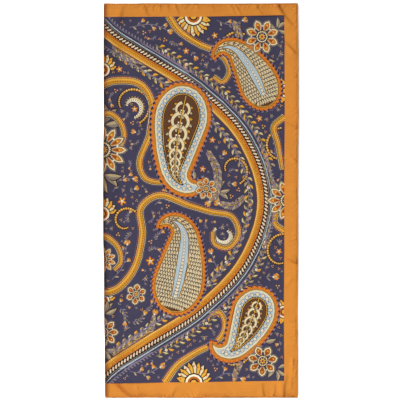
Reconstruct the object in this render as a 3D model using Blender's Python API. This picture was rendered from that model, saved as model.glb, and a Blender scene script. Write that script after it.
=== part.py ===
"""A silk square with rolled hems, folded once from side to side and laid flat.

X runs across the folded scarf, from the fold at -X to the free side hems at +X. Y runs up its
length and Z is up. The origin is under its middle, on the surface that it lies on. Sizes are in
metres, and the tables below are in millimetres.
"""

import math

import bmesh
import bpy
from mathutils import Vector

MM = 0.001

# Driving dimensions
LENGTH = 900 * MM  # from hem to hem, along the fold
WIDTH = 446.5 * MM  # from the fold to the side hem, where the folded scarf is widest
CLOTH = 1.0 * MM  # the wall that stands for the silk
HEM_WIDTH = 3.0 * MM  # a rolled hem, seen from above
HEM_HEIGHT = 2.4 * MM
SEAM_GAP = 0.3 * MM  # between the silk and the hem that is rolled from its edge
FOLD_RADIUS = 2.05 * MM  # of the soft fold, to the middle of the silk, at its two ends
FOLD_SWELL = 0.55 * MM  # how much more that radius is where the fold puffs up most
FOLD_PUFFS = 2.5  # how many times it puffs up along the length
FOLD_QUIET = 0.125  # share of the length at each end over which the puffs die away
BACK_HEM_IN = 0.8 * MM  # the under layer's side hem lies this far inside the upper one
FRONT_REST = 2.3 * MM  # height of the upper layer's middle where it lies on the under layer
EDGE_FALL = 30 * MM  # how far in from a hem the upper layer comes down to that rest
EDGE_HOLD = 1.5  # and how long it keeps the hem's height first, as a power of that distance
EDGE_STIFF = 8 * MM  # creases and waves fade out over this width along the hems
FOLD_FALL = 34 * MM  # how far in from the fold the upper layer comes down
WAVE_RISE = 0.4 * MM  # slow waves that the hand-rolled hems pull into the silk
WAVE_PITCH = 104 * MM
WAVE_DRIFT = 387 * MM  # over this length the pitch opens and closes again
WAVE_UNEVEN = 1.3  # how much it does so, in radians of the wave
WAVE_REACH = 26 * MM

# Grid of the silk
BACK_COLUMNS, FOLD_COLUMNS, FRONT_COLUMNS, ROWS = 5, 6, 38, 46
CROWD_COLUMNS, CROWD_ROWS = 0.5, 0.6  # how much closer columns and rows lie towards the edges
SHARP_ANGLE = math.radians(40)  # edges that turn more than this aren't shaded smooth
HEM_SIDES = 8
HEM_STEPS, BACK_HEM_STEPS, TURN_STEPS, SIDE_HEM_STEPS = 30, 10, 6, 40

HEM_LOW = HEM_HEIGHT / 2  # height of an under hem's middle
HEM_HIGH = 1.5 * HEM_HEIGHT + SEAM_GAP  # and of an upper hem's
EDGE_IN = HEM_WIDTH + SEAM_GAP  # from the outer edge of a hem to the silk

# How far the fold and the side hem lie inside the widest width.
# along: from the foot hem (0) to the top hem (1)
OUTLINE = (
    # along, fold_in, side_in
    (0.00, 4.5, 1.9),
    (0.13, 3.9, 2.0),
    (0.22, 2.4, 2.6),
    (0.32, 2.2, 1.4),
    (0.41, 0.3, 1.0),
    (0.50, 0.0, 1.1),
    (0.62, 0.6, 0.8),
    (0.70, 1.7, 0.0),
    (0.86, 1.3, 0.2),
    (1.00, 1.6, 1.4),
)

# How far the top and foot hems lie inside the length.
# across: from the fold (0) to the side hem (1)
HEMLINE = (
    # across, top_in, foot_in
    (0.00, 0.3, 0.3),
    (0.10, 1.4, 0.4),
    (0.24, 0.1, 0.5),
    (0.36, 0.5, 0.3),
    (0.48, 1.5, 0.0),
    (0.60, 0.8, 0.3),
    (0.71, 1.5, 0.4),
    (0.82, 0.4, 0.5),
    (0.92, 0.0, 0.6),
    (1.00, 0.0, 0.4),
)

# The largest creases of the upper layer: straight soft ridges. Places are from the fold and from
# the foot hem.
CREASES = (
    # from_x, from_y, to_x, to_y, half_width, rise
    (41, 900, 44, 842, 9, 1.3),  # down from the top hem, near the fold
    (398, 897, 428, 846, 9, 1.7),  # across the top corner
    (28, 36, 62, 6, 10, 1.5),  # across the foot corner, at the fold
    (366, 0, 362, 46, 8, 1.2),  # three short ones up from the foot hem
    (391, 0, 389, 40, 7, 1.0),
    (416, 0, 415, 44, 7, 1.4),
    (90, 640, 300, 742, 26, 0.8),  # long shallow ones over the middle
    (300, 160, 176, 402, 28, 0.8),
    (120, 250, 240, 520, 30, 0.6),
)


def smooth(t):
    """0 to 1 with no slope at either end."""
    t = min(max(t, 0.0), 1.0)
    return t * t * (3 - 2 * t)


def between(rows, at, column):
    """A table's column at a place between its rows, with soft steps, in metres."""
    for low, high in zip(rows, rows[1:]):
        if at <= high[0]:
            share = smooth((at - low[0]) / (high[0] - low[0]))
            return (low[column] + (high[column] - low[column]) * share) * MM
    return rows[-1][column] * MM


def fold_x(y):
    """The outer edge of the fold."""
    return -WIDTH / 2 + between(OUTLINE, y / LENGTH + 0.5, 1)


def side_x(y):
    """The outer edge of the upper side hem."""
    return WIDTH / 2 - between(OUTLINE, y / LENGTH + 0.5, 2)


def top_y(x):
    return LENGTH / 2 - between(HEMLINE, x / WIDTH + 0.5, 1)


def foot_y(x):
    return -LENGTH / 2 + between(HEMLINE, x / WIDTH + 0.5, 2)


def back_edge(edge_y, x):
    """A top or foot edge of the under layer: straight from the fold to the side hem."""
    from_y, to_y = edge_y(-WIDTH / 2), edge_y(WIDTH / 2)
    return from_y + (to_y - from_y) * (x / WIDTH + 0.5)


def fold_radius(y):
    """The fold's radius swells and settles along the length, and not at its two ends."""
    share = y / LENGTH + 0.5
    puff = math.sin(math.pi * FOLD_PUFFS * share) ** 2
    return FOLD_RADIUS + FOLD_SWELL * puff * smooth(min(share, 1 - share) / FOLD_QUIET)


def crease_height(x, y):
    """All the creases at a place on the upper layer."""
    total = 0.0
    place = Vector((x + WIDTH / 2, y + LENGTH / 2))
    for from_x, from_y, to_x, to_y, half_width, rise in CREASES:
        start, end = Vector((from_x, from_y)) * MM, Vector((to_x, to_y)) * MM
        run = end - start
        along = (place - start).dot(run) / run.length_squared
        off = abs(run.cross(place - start)) / run.length
        past = max(-along, along - 1, 0) * run.length  # beyond either end
        spread = (off**2 + past**2) / (half_width * MM) ** 2
        total += rise * MM * math.exp(-spread)
    return total


def hem_wave(along, inward):
    """The hem's slow waves, uneven in pitch, dying away inwards."""
    turn = 2 * math.pi * along
    wave = math.sin(turn / WAVE_PITCH + WAVE_UNEVEN * math.sin(turn / WAVE_DRIFT))
    return WAVE_RISE * (1 + wave) * math.exp(-inward / WAVE_REACH)


def upper_height(x, y):
    """Height of the middle of the upper layer: held up by the fold and the hems, lying elsewhere."""
    from_side = side_x(y) - EDGE_IN - x
    from_top = top_y(x) - EDGE_IN - y
    from_foot = y - foot_y(x) - EDGE_IN
    lying = 1.0
    for inward in (from_side, from_top, from_foot):
        lying *= 1 - math.exp(-((max(inward, 0) / EDGE_FALL) ** EDGE_HOLD))
    height = HEM_HIGH + (FRONT_REST - HEM_HIGH) * lying
    inside = smooth(min(from_side, from_top, from_foot) / EDGE_STIFF)
    height += inside * crease_height(x, y)
    height += inside * (hem_wave(x, min(from_top, from_foot)) + hem_wave(y, from_side))
    fold_top = 2 * fold_radius(y) + CLOTH / 2
    from_fold = x - fold_x(y) - fold_radius(y) - CLOTH / 2
    return height + (fold_top - height) * (1 - smooth(from_fold / FOLD_FALL))


def crowded(share, crowd):
    """Moves evenly spaced shares from 0 to 1 towards both ends."""
    return share - crowd * math.sin(2 * math.pi * share) / (2 * math.pi)


def on_folded_silk(column, row, side):
    """A point of the silk's wall. side is 1 on the outside of the fold and -1 on the inside."""
    length_share = crowded(row / ROWS, CROWD_ROWS)
    middle_y = (length_share - 0.5) * LENGTH
    radius = fold_radius(middle_y)
    turn_x = fold_x(middle_y) + radius + CLOTH / 2
    turn_z = radius + CLOTH / 2
    wall = side * CLOTH / 2
    front = column - BACK_COLUMNS - FOLD_COLUMNS
    if column < BACK_COLUMNS:
        back_end = side_x(middle_y) - BACK_HEM_IN - EDGE_IN
        x = back_end + (turn_x - back_end) * column / BACK_COLUMNS
        z = CLOTH / 2 - wall
    elif front < 0:
        angle = math.pi * (column - BACK_COLUMNS) / FOLD_COLUMNS
        x = turn_x - (radius + wall) * math.sin(angle)
        z = turn_z - (radius + wall) * math.cos(angle)
    else:
        front_end = side_x(middle_y) - EDGE_IN
        x = turn_x + (front_end - turn_x) * crowded(front / FRONT_COLUMNS, CROWD_COLUMNS)
        z = None
    if front <= 0:
        low, high = back_edge(foot_y, x) + EDGE_IN, back_edge(top_y, x) - EDGE_IN
    else:
        low, high = foot_y(x) + EDGE_IN, top_y(x) - EDGE_IN
    y = low + (high - low) * length_share
    if z is None:
        z = upper_height(x, y) + wall
    return Vector((x, y, z))


def silk_colour(name, colour, roughness):
    """A material of smooth cloth."""
    material = bpy.data.materials.new(name)
    material.use_nodes = True
    shader = material.node_tree.nodes["Principled BSDF"]
    shader.inputs["Base Color"].default_value = (*colour, 1)
    shader.inputs["Roughness"].default_value = roughness
    shader.inputs["Metallic"].default_value = 0
    return material


def add_object(name, mesh_maker, material, collection):
    """Links an object whose mesh is what mesh_maker leaves in a bmesh."""
    mesh = bpy.data.meshes.new(name)
    made = bmesh.new()
    mesh_maker(made)
    made.to_mesh(mesh)
    made.free()
    mesh.materials.append(material)
    mesh.shade_smooth()
    mesh.set_sharp_from_angle(angle=SHARP_ANGLE)
    added = bpy.data.objects.new(name, mesh)
    collection.objects.link(added)
    return added


def make_silk(made):
    """A flat slab of grid squares, one wall thick, is folded over point by point."""
    columns = BACK_COLUMNS + FOLD_COLUMNS + FRONT_COLUMNS
    bmesh.ops.create_grid(made, x_segments=columns, y_segments=ROWS, size=0.5)
    bmesh.ops.solidify(made, geom=made.faces[:], thickness=1)
    middle = sum(vert.co.z for vert in made.verts) / len(made.verts)
    for vert in made.verts:
        column = round((vert.co.x + 0.5) * columns)
        row = round((vert.co.y + 0.5) * ROWS)
        vert.co = on_folded_silk(column, row, 1 if vert.co.z > middle else -1)


def hem_ring(made, centre, across, up):
    """One ring of a rolled hem, with flats above and below."""
    first = math.pi / HEM_SIDES
    ring = []
    for k in range(HEM_SIDES):
        angle = first + 2 * math.pi * k / HEM_SIDES
        offset = across * math.cos(angle) * HEM_WIDTH + up * math.sin(angle) * HEM_HEIGHT
        ring.append(made.verts.new(centre + offset / (2 * math.cos(first))))
    return [made.edges.new((ring[k - 1], ring[k])) for k in range(HEM_SIDES)]


def sweep_hem(made, stations):
    """Bridges the rings at (centre, across, up) and closes both ends."""
    rings = [hem_ring(made, *station) for station in stations]
    for ring, after in zip(rings, rings[1:]):
        bmesh.ops.bridge_loops(made, edges=ring + after)
    for end in (rings[0], rings[-1]):
        bmesh.ops.contextual_create(made, geom=end)
    bmesh.ops.recalc_face_normals(made, faces=made.faces[:])


def end_hem(edge_y, inward):
    """The top or foot hem: over the upper layer, round the fold and back under it."""
    across, up, middle = Vector((0, 1, 0)), Vector((0, 0, 1)), HEM_WIDTH / 2
    corner_y = edge_y(WIDTH / 2)
    far, turn_z = side_x(corner_y), (HEM_LOW + HEM_HIGH) / 2
    turn_radius = (HEM_HIGH - HEM_LOW) / 2
    turn_x = fold_x(edge_y(-WIDTH / 2)) + turn_radius + HEM_HEIGHT / 2
    stations = []
    for k in range(HEM_STEPS + 1):
        x = far + (turn_x - far) * k / HEM_STEPS
        centre = Vector((x, edge_y(x) + inward * middle, HEM_HIGH))
        stations.append((centre, across, up))
    for k in range(1, TURN_STEPS):
        angle = math.pi * k / TURN_STEPS
        out = Vector((-math.sin(angle), 0, math.cos(angle)))
        x = turn_x + turn_radius * out.x
        y = back_edge(edge_y, x) + inward * middle
        stations.append((Vector((x, y, turn_z + turn_radius * out.z)), across, out))
    for k in range(BACK_HEM_STEPS + 1):
        x = turn_x + (far - BACK_HEM_IN - turn_x) * k / BACK_HEM_STEPS
        y = back_edge(edge_y, x) + inward * middle
        stations.append((Vector((x, y, HEM_LOW)), across, -up))
    return stations


def side_hem(inside, height):
    """A side hem, from the foot hem to the top hem."""
    stations = []
    low = foot_y(WIDTH / 2) + EDGE_IN
    high = top_y(WIDTH / 2) - EDGE_IN
    for k in range(SIDE_HEM_STEPS + 1):
        y = low + (high - low) * k / SIDE_HEM_STEPS
        centre = Vector((side_x(y) - inside - HEM_WIDTH / 2, y, height))
        stations.append((centre, Vector((1, 0, 0)), Vector((0, 0, 1))))
    return stations


def main():
    for old in list(bpy.data.objects):
        bpy.data.objects.remove(old)
    scarf = bpy.data.collections.new("silk_scarf")
    bpy.context.scene.collection.children.link(scarf)
    printed = silk_colour("printed silk twill", (0.055, 0.048, 0.085), 0.45)
    border = silk_colour("orange silk hem", (0.68, 0.26, 0.045), 0.42)
    add_object("silk_square", make_silk, printed, scarf)
    hems = {
        "hem_top": end_hem(top_y, -1),
        "hem_foot": end_hem(foot_y, 1),
        "hem_front_side": side_hem(0, HEM_HIGH),
        "hem_back_side": side_hem(BACK_HEM_IN, HEM_LOW),
    }
    for name, stations in hems.items():
        add_object(name, lambda made, path=stations: sweep_hem(made, path), border, scarf)


main()
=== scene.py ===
"""A printed silk square, folded once and laid flat: its looks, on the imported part's frame.

X runs across the folded scarf, from the fold at -X to the free side hems at +X. Y runs up its
length and Z is up. The tables and the functions work in millimetres, and meshes are in metres.
A place on the silk is also given by its cut, for each half alike: u runs from the fold to the
side hem, and t from the foot hem to the top hem.
"""

import math
import random

import bmesh
import bpy
import numpy as np
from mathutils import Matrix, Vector
from mathutils.geometry import delaunay_2d_cdt


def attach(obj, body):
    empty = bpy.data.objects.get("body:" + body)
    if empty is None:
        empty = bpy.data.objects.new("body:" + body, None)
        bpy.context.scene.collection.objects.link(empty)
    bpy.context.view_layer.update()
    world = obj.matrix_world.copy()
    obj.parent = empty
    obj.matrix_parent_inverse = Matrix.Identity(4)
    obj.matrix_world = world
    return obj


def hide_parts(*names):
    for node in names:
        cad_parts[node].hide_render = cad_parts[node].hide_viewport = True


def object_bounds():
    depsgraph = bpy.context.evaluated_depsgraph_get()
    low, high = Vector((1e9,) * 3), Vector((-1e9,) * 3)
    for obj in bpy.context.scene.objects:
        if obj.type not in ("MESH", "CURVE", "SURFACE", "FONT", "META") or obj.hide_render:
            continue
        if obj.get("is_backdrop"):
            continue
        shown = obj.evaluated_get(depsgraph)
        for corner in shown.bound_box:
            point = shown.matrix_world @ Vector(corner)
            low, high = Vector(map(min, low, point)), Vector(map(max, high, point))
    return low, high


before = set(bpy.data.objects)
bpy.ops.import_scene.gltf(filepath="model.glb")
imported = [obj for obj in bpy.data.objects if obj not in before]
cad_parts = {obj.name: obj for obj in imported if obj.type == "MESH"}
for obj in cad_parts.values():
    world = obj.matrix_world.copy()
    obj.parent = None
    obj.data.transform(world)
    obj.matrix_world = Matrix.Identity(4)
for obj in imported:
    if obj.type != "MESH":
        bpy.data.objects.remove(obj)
bounds_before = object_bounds()

MM = 0.001

# ---------------- sizes, as in the part
LENGTH = 900.0  # from hem to hem, along the fold
WIDTH = 446.5  # from the fold to the side hem, where the folded scarf is widest
CUT = 900.0  # side of the square of silk
HALF = CUT / 2
CLOTH = 1.0  # the part's wall. The silk's face lies on the wall's outer face
SILK = 0.4  # how thick the silk is at its edges
INNER_DEPTH = 1.2  # and how deep the plain inner face lies under the printed one elsewhere
INNER_DEPTH_UNDER = 0.8  # the same of the under layer
HEM_WIDTH = 3.0
HEM_HEIGHT = 2.4
SEAM_GAP = 0.3
FOLD_RADIUS = 2.05
FOLD_REACH = 9.0  # the roll of the fold is this long across, finer than the part's round one
FOLD_SWELL = 0.55
FOLD_PUFFS = 2.5
FOLD_QUIET = 0.125
BACK_HEM_IN = 0.8
FRONT_REST = 2.3
EDGE_FALL = 30
EDGE_HOLD = 1.5
FOLD_FALL = 34
WAVE_RISE = 0.4
WAVE_PITCH = 104
WAVE_DRIFT = 387
WAVE_UNEVEN = 1.3
WAVE_REACH = 26
HEM_LOW = HEM_HEIGHT / 2
HEM_HIGH = 1.5 * HEM_HEIGHT + SEAM_GAP

# and the finer forms, which the part leaves out
EDGE_IN = 2.2  # from a hem's outer edge to the silk, which runs on into the roll
SILK_SIDE = HALF - EDGE_IN  # so the silk ends at these lines of the cut
SILK_FOOT = EDGE_IN
SILK_TOP = CUT - EDGE_IN
BORDER = 32  # width of the plain border, about
WRONG_SIDE_PRINT = (418, 36, 870)  # side, foot and top of the print on the silk's wrong side
FOLD_LINES = (0.8, 1.6, 2.4, 3.2, 4.0, 5.0, 6.5, 9.0, 15.0, 23.0, 32.0)  # and it bends along these
FOLD_STEPS = 60  # of the fold's quarter turn, as its length is measured
FOLD_SETTLE = 14  # the hems run straight round the fold and take up their own line this far on
RIPPLE_RISE = 0.12  # slight ripples beside the fold
RIPPLE_PITCH = 23
EDGE_STIFF = 3.5  # creases fade out over this width along the hems
TUCK = 0.6  # how far the silk turns in towards the roll's middle
TUCK_REACH = 3.0
PUCKER_RISE = 0.55  # small ripples that the hem's stitches pull into the silk
PUCKER_PITCH = 13.0
PUCKER_REACH = 6.5
FOLD_SHADE = 0.84  # how much shade is painted into the silk's dye at the fold's edge, and how far in
FOLD_SHADE_REACH = 9.2
CREASE_RISE = 1.6  # all the creases' heights, times this
# Shade painted into the silk's dye along the creases, beside the hems and in short strokes where the
# stitches pull
CREASE_SHADE = 0.26
HEM_SHADE = 0.16
PULL_PITCH = 8.4
PULL_SHADE = 0.45  # the short slanting strokes of painted shade where the stitches pull along the hems
FOLD_SHADE_TINT = (0.88, 1.0, 1.08)  # the painted shade at the fold's edge darkens the silk's red least
CREASE_SHADE_TINT = (0.75, 1.0, 1.2)  # and the painted shade along the creases and beside the hems
SWELLS = (
    # wave_x, wave_y, start, rise: slow unevenness of silk that lies flat
    (171, 402, 0.6, 0.20),
    (-236, 148, 2.1, 0.16),
    (93, -310, 4.0, 0.12),
    (128, 117, 5.2, 0.07),
    (-74, 262, 1.3, 0.07),
)

OUTLINE = (
    # along, fold_in, side_in
    (0.00, 4.5, 1.9),
    (0.13, 3.9, 2.0),
    (0.22, 2.4, 2.6),
    (0.32, 2.2, 1.4),
    (0.41, 0.3, 1.0),
    (0.50, 0.0, 1.1),
    (0.62, 0.6, 0.8),
    (0.70, 1.7, 0.0),
    (0.86, 1.3, 0.2),
    (1.00, 1.6, 1.4),
)
HEMLINE = (
    # across, top_in, foot_in
    (0.00, 0.3, 0.3),
    (0.10, 1.4, 0.4),
    (0.24, 0.1, 0.5),
    (0.36, 0.5, 0.3),
    (0.48, 1.5, 0.0),
    (0.60, 0.8, 0.3),
    (0.71, 1.5, 0.4),
    (0.82, 0.4, 0.5),
    (0.92, 0.0, 0.6),
    (1.00, 0.0, 0.4),
)

# Creases of the upper layer, each strongest at its first end. Places are from the fold and from
# the foot hem.
CREASES = (
    # from_x, from_y, to_x, to_y, half_width, rise, bend
    (38, 868, 43, 893, 6.5, 1.0, 0.0),  # down from the top hem, near the fold
    (95, 889, 104.5, 866, 4.6, 0.65, -1.5),
    (112, 893, 113, 885, 2.6, 0.25, 0.0),  # small ones along the top hem
    (130, 893, 131, 884, 2.6, 0.65, 0.0),
    (148, 893, 149, 885, 2.6, 0.55, 0.0),
    (165, 894, 172, 877, 3.0, 0.75, 0.0),
    (214, 895, 219, 886, 3.0, 0.5, 0.0),
    (247, 895, 252, 884, 3.0, 0.4, 1.0),
    (292, 895, 299, 879, 3.0, 0.8, 0.0),  # and softer ones beside them
    (303, 892, 315, 871, 3.2, 0.7, 1.0),
    (349, 894, 361, 876, 3.8, 0.75, -1.0),
    (361, 880, 373, 872, 3.2, 0.5, 0.0),
    (397, 896, 427, 853, 5.0, 1.55, -2.0),  # across the top corner
    (40, 30, 74, 4, 7.0, 2.2, -3.0),  # across the foot corner, at the fold
    (78, 25, 83, 14, 3.0, 0.4, 0.0),
    (155, 4, 164, 20, 3.4, 1.2, 0.0),  # up from the foot hem
    (147, 4, 152, 11, 2.4, 0.7, 0.0),
    (139, 4, 144, 12, 2.4, 0.5, 0.0),
    (216, 5, 222, 14, 3.0, 0.7, 0.0),
    (366, 4, 362, 30, 3.8, 1.0, 1.0),  # three beside each other near the foot corner
    (388, 4, 391, 28, 3.4, 0.9, -1.0),
    (411, 3, 417, 48, 5.0, 1.55, 3.0),
    (434, 86, 429, 24, 2.8, 0.8, 0.0),  # along the side hem, near its foot
    (439, 310, 427, 317, 3.6, 1.1, 0.0),  # and in from the side hem
    (430, 315, 416, 323, 4.8, 0.9, 0.0),
    (434, 790, 414, 811, 3.6, 1.0, 0.0),
    (441, 618, 416, 629, 3.8, 0.9, -1.0),
    (440, 735, 430, 743, 3.2, 0.5, 0.0),
    (437, 542, 427, 552, 3.4, 0.6, 0.0),
    (443, 363, 424, 359, 3.2, 0.5, 0.0),
    (430, 272, 419, 256, 3.4, 0.5, 0.0),
    (443, 177, 422, 176, 3.2, 0.5, 0.0),
    (443, 470, 428, 474, 3.2, 0.4, -1.0),
    (90, 640, 300, 742, 24, 0.5, 8.0),  # long shallow ones over the middle
    (300, 160, 176, 402, 26, 0.5, -10.0),
    (120, 250, 240, 520, 28, 0.4, 12.0),
)

# Creases of the under layer, which lies on the ground: low ridges, seen from below as soft folds.
BACK_CREASES = (
    # from_x, from_y, to_x, to_y, half_width, rise, bend
    (52, 898, 60, 850, 5.0, 0.5, 2.0),
    (402, 896, 430, 858, 5.0, 0.6, -3.0),
    (30, 34, 58, 6, 5.0, 0.5, 2.0),
    (352, 3, 348, 38, 4.4, 0.4, 1.0),
    (402, 3, 396, 34, 4.0, 0.4, -1.0),
    (446, 268, 420, 272, 4.2, 0.35, 1.0),
    (446, 421, 426, 416, 3.8, 0.3, -1.0),
    (446, 633, 423, 640, 4.2, 0.35, 1.0),
    (138, 897, 144, 869, 4.0, 0.3, 1.5),
    (251, 897, 246, 872, 3.8, 0.3, -1.0),
    (181, 3, 187, 27, 4.0, 0.3, 1.0),
    (80, 560, 330, 690, 20, 0.2, 8.0),
    (320, 190, 150, 430, 22, 0.2, -10.0),
)
LEE = (0.75, -0.66)  # the way the light travels over the silk

# The hems' rolls
HEM_SIDES = 14
HEM_STEP = 1.5
HEM_END = 1.3  # a roll rounds off over its last millimetres
FIRST_STITCH = 1.5
DIMPLE_REACH = 0.9
STITCH_PITCH = 5.6
STITCH_LENGTH = 1.5
STITCH_WIDTH = 0.34
SHADED_FOOT_STRETCHES = (
    # from_x, to_x: stretches of the foot hem with a line of shade painted along its roll's crown
    (46, 126),
    (197, 219),
)

# ---------------- the print's inks
INKS = {
    "navy": "#433f55",
    "night": "#2a263b",
    "mauve": "#82758a",
    "taupe": "#8b7d70",
    "sand": "#baa57d",
    "cream": "#e6d3a6",
    "milk": "#f4e9cd",
    "sky": "#b5c4ca",
    "gold": "#e5aa3f",
    "amber": "#cf922f",
    "orange": "#d97d2c",
    "copper": "#b9621f",
    "rust": "#93481f",
    "brown": "#62402a",
    "umber": "#36231c",
    "olive": "#8f7b45",
    "border": "#dc8c37",
}
INK_NAMES = tuple(INKS)
CDT_NEAR = 1e-3  # points of the print this near each other become one
EDGE_INK = "#cf8a45"  # the cut edge
WRONG_SIDE_INK = "#6d6470"  # the print seen from the silk's wrong side
WRONG_BORDER_INK = "#e0a060"  # and the border


def linear(colour):
    """Blender's linear red, green and blue of a colour written as in a picture, #rrggbb."""
    parts = [int(colour[k : k + 2], 16) / 255 for k in (1, 3, 5)]
    return tuple(c / 12.92 if c <= 0.04045 else ((c + 0.055) / 1.055) ** 2.4 for c in parts)


# ---------------- plane curves, in millimetres
def run_of(line):
    """How far along a line each of its points lies."""
    return np.concatenate(([0], np.cumsum(np.hypot(*np.diff(line, axis=0).T))))


def places_at(line, run, at):
    """A line's places at one or many distances along it."""
    return np.stack([np.interp(at, run, column) for column in line.T], -1)


def ring(outline):
    """A closed outline as a line that comes back to its start."""
    return np.vstack((outline, outline[:1]))


def crossed(one, other):
    """The cross product of plane vectors."""
    return one[..., 0] * other[..., 1] - one[..., 1] * other[..., 0]


def heading_of(step):
    return math.atan2(step[1], step[0])


def resampled(line, step):
    """The same line with a point about every step."""
    run = run_of(line)
    count = max(int(round(run[-1] / step)), 2)
    return places_at(line, run, np.linspace(0, run[-1], count + 1))


def curve(knots, step):
    """A Catmull-Rom curve through the knots."""
    knots = np.array(knots, float)
    ends = np.vstack((2 * knots[0] - knots[1], knots, 2 * knots[-1] - knots[-2]))
    t = np.linspace(0, 1, 24, endpoint=False)[:, None]
    spans = [
        0.5 * (2 * b + (c - a) * t + (2 * a - 5 * b + 4 * c - d) * t**2 + (3 * b - a - 3 * c + d) * t**3)
        for a, b, c, d in zip(ends, ends[1:], ends[2:], ends[3:])
    ]
    return resampled(np.vstack((*spans, ends[-2])), step)


def normals(line, closed=False):
    """Unit vectors to the left of the line's travel."""
    if closed:
        along = np.roll(line, -1, 0) - np.roll(line, 1, 0)
    else:
        along = np.gradient(line, axis=0)
    along /= np.maximum(np.hypot(*along.T), 1e-9)[:, None]
    return np.column_stack((-along[:, 1], along[:, 0]))


def beside(line, off):
    """The line moved to its left, by one distance or by one for each point."""
    return line + normals(line) * np.reshape(off, (-1, 1))


def stations(line, pitch, skip=0.5):
    """Place, heading and share of the length, about every pitch along the line."""
    run, left = run_of(line), normals(line)
    count = max(int(run[-1] / pitch), 1)
    for k in range(count):
        share = (k + skip) / count
        side = places_at(left, run, share * run[-1])
        yield places_at(line, run, share * run[-1]), math.atan2(-side[0], side[1]), share


def turned(shape, heading, place=(0, 0), size=1.0):
    """A shape drawn along +X, turned to a heading, sized and placed."""
    c, s = math.cos(heading), math.sin(heading)
    return np.asarray(shape, float) @ np.array(((c, s), (-s, c))) * size + place


def aside(place, heading, ahead, left=0.0):
    """The place this far ahead and to the left, seen along a heading."""
    return turned([(ahead, left)], heading, place)[0]


def ellipse(length, width, steps=10):
    turn = np.linspace(0, 2 * math.pi, steps, endpoint=False)
    return np.column_stack((np.cos(turn) * length / 2, np.sin(turn) * width / 2))


def petal(length, width, steps=4, fullness=0.6, bend=0.0):
    """A pointed petal from the origin to +X, widest at fullness of its length."""
    t = np.linspace(0, 1, steps + 1)
    t_wide = np.where(t < fullness, t / fullness * 0.5, 0.5 + (t - fullness) / (1 - fullness) * 0.5)
    half = np.sin(math.pi * t_wide) * width / 2
    middle = bend * length * np.sin(math.pi * t)
    upper = np.column_stack((t * length, middle + half))
    lower = np.column_stack((t * length, middle - half))[1:-1][::-1]
    return np.vstack((upper, lower))


def star(points, radius, waist):
    """A star or a cogged disc round the origin."""
    turn = np.linspace(0, 2 * math.pi, 2 * points, endpoint=False)
    reach = np.where(np.arange(2 * points) % 2, waist, 1.0) * radius
    return np.column_stack((np.cos(turn) * reach, np.sin(turn) * reach))


def untangled(outline):
    """A closed outline without the small loops where it crosses itself."""
    while len(outline) > 4:
        run = np.roll(outline, -1, 0) - outline
        between = outline[None] - outline[:, None]
        turn = crossed(run[:, None], run[None])
        turn = np.where(abs(turn) < 1e-12, np.inf, turn)
        along = crossed(between, run[None]) / turn
        other = crossed(between, run[:, None]) / turn
        cross = (along > 0) & (along < 1) & (other > 0) & (other < 1)
        first, second = np.nonzero(np.triu(cross, 2))
        if not len(first):
            break
        size, start, end = min(zip(second - first, first, second))
        if size * 2 > len(outline):
            outline = outline[start + 1 : end + 1]
        else:
            outline = np.vstack((outline[: start + 1], outline[end + 1 :]))
    return outline


def inset(outline, depth, step=3):
    """A closed outline moved inwards, without the points that would cross over."""
    moved = outline + depth * normals(outline, closed=True)
    side = np.roll(outline, -1, 0) - outline
    share = ((moved[:, None] - outline) * side).sum(2) / (side**2).sum(1)
    nearest = outline + np.clip(share, 0, 1)[..., None] * side
    gap = np.hypot(*(moved[:, None] - nearest).transpose(2, 0, 1)).min(1)
    moved = moved[gap > abs(depth) * 0.98]
    if len(moved) > 3:
        moved = resampled(ring(moved), step)[:-1]
    return untangled(moved)


def scalloped(outline, pitch, depth, cuts=5):
    """A closed outline with round scallops pushed out of it."""
    fine = resampled(ring(outline), pitch / cuts)[:-1]
    phase = np.arange(len(fine)) % cuts / cuts
    return untangled(fine - normals(fine, closed=True) * (depth * np.sin(math.pi * phase))[:, None])


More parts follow.
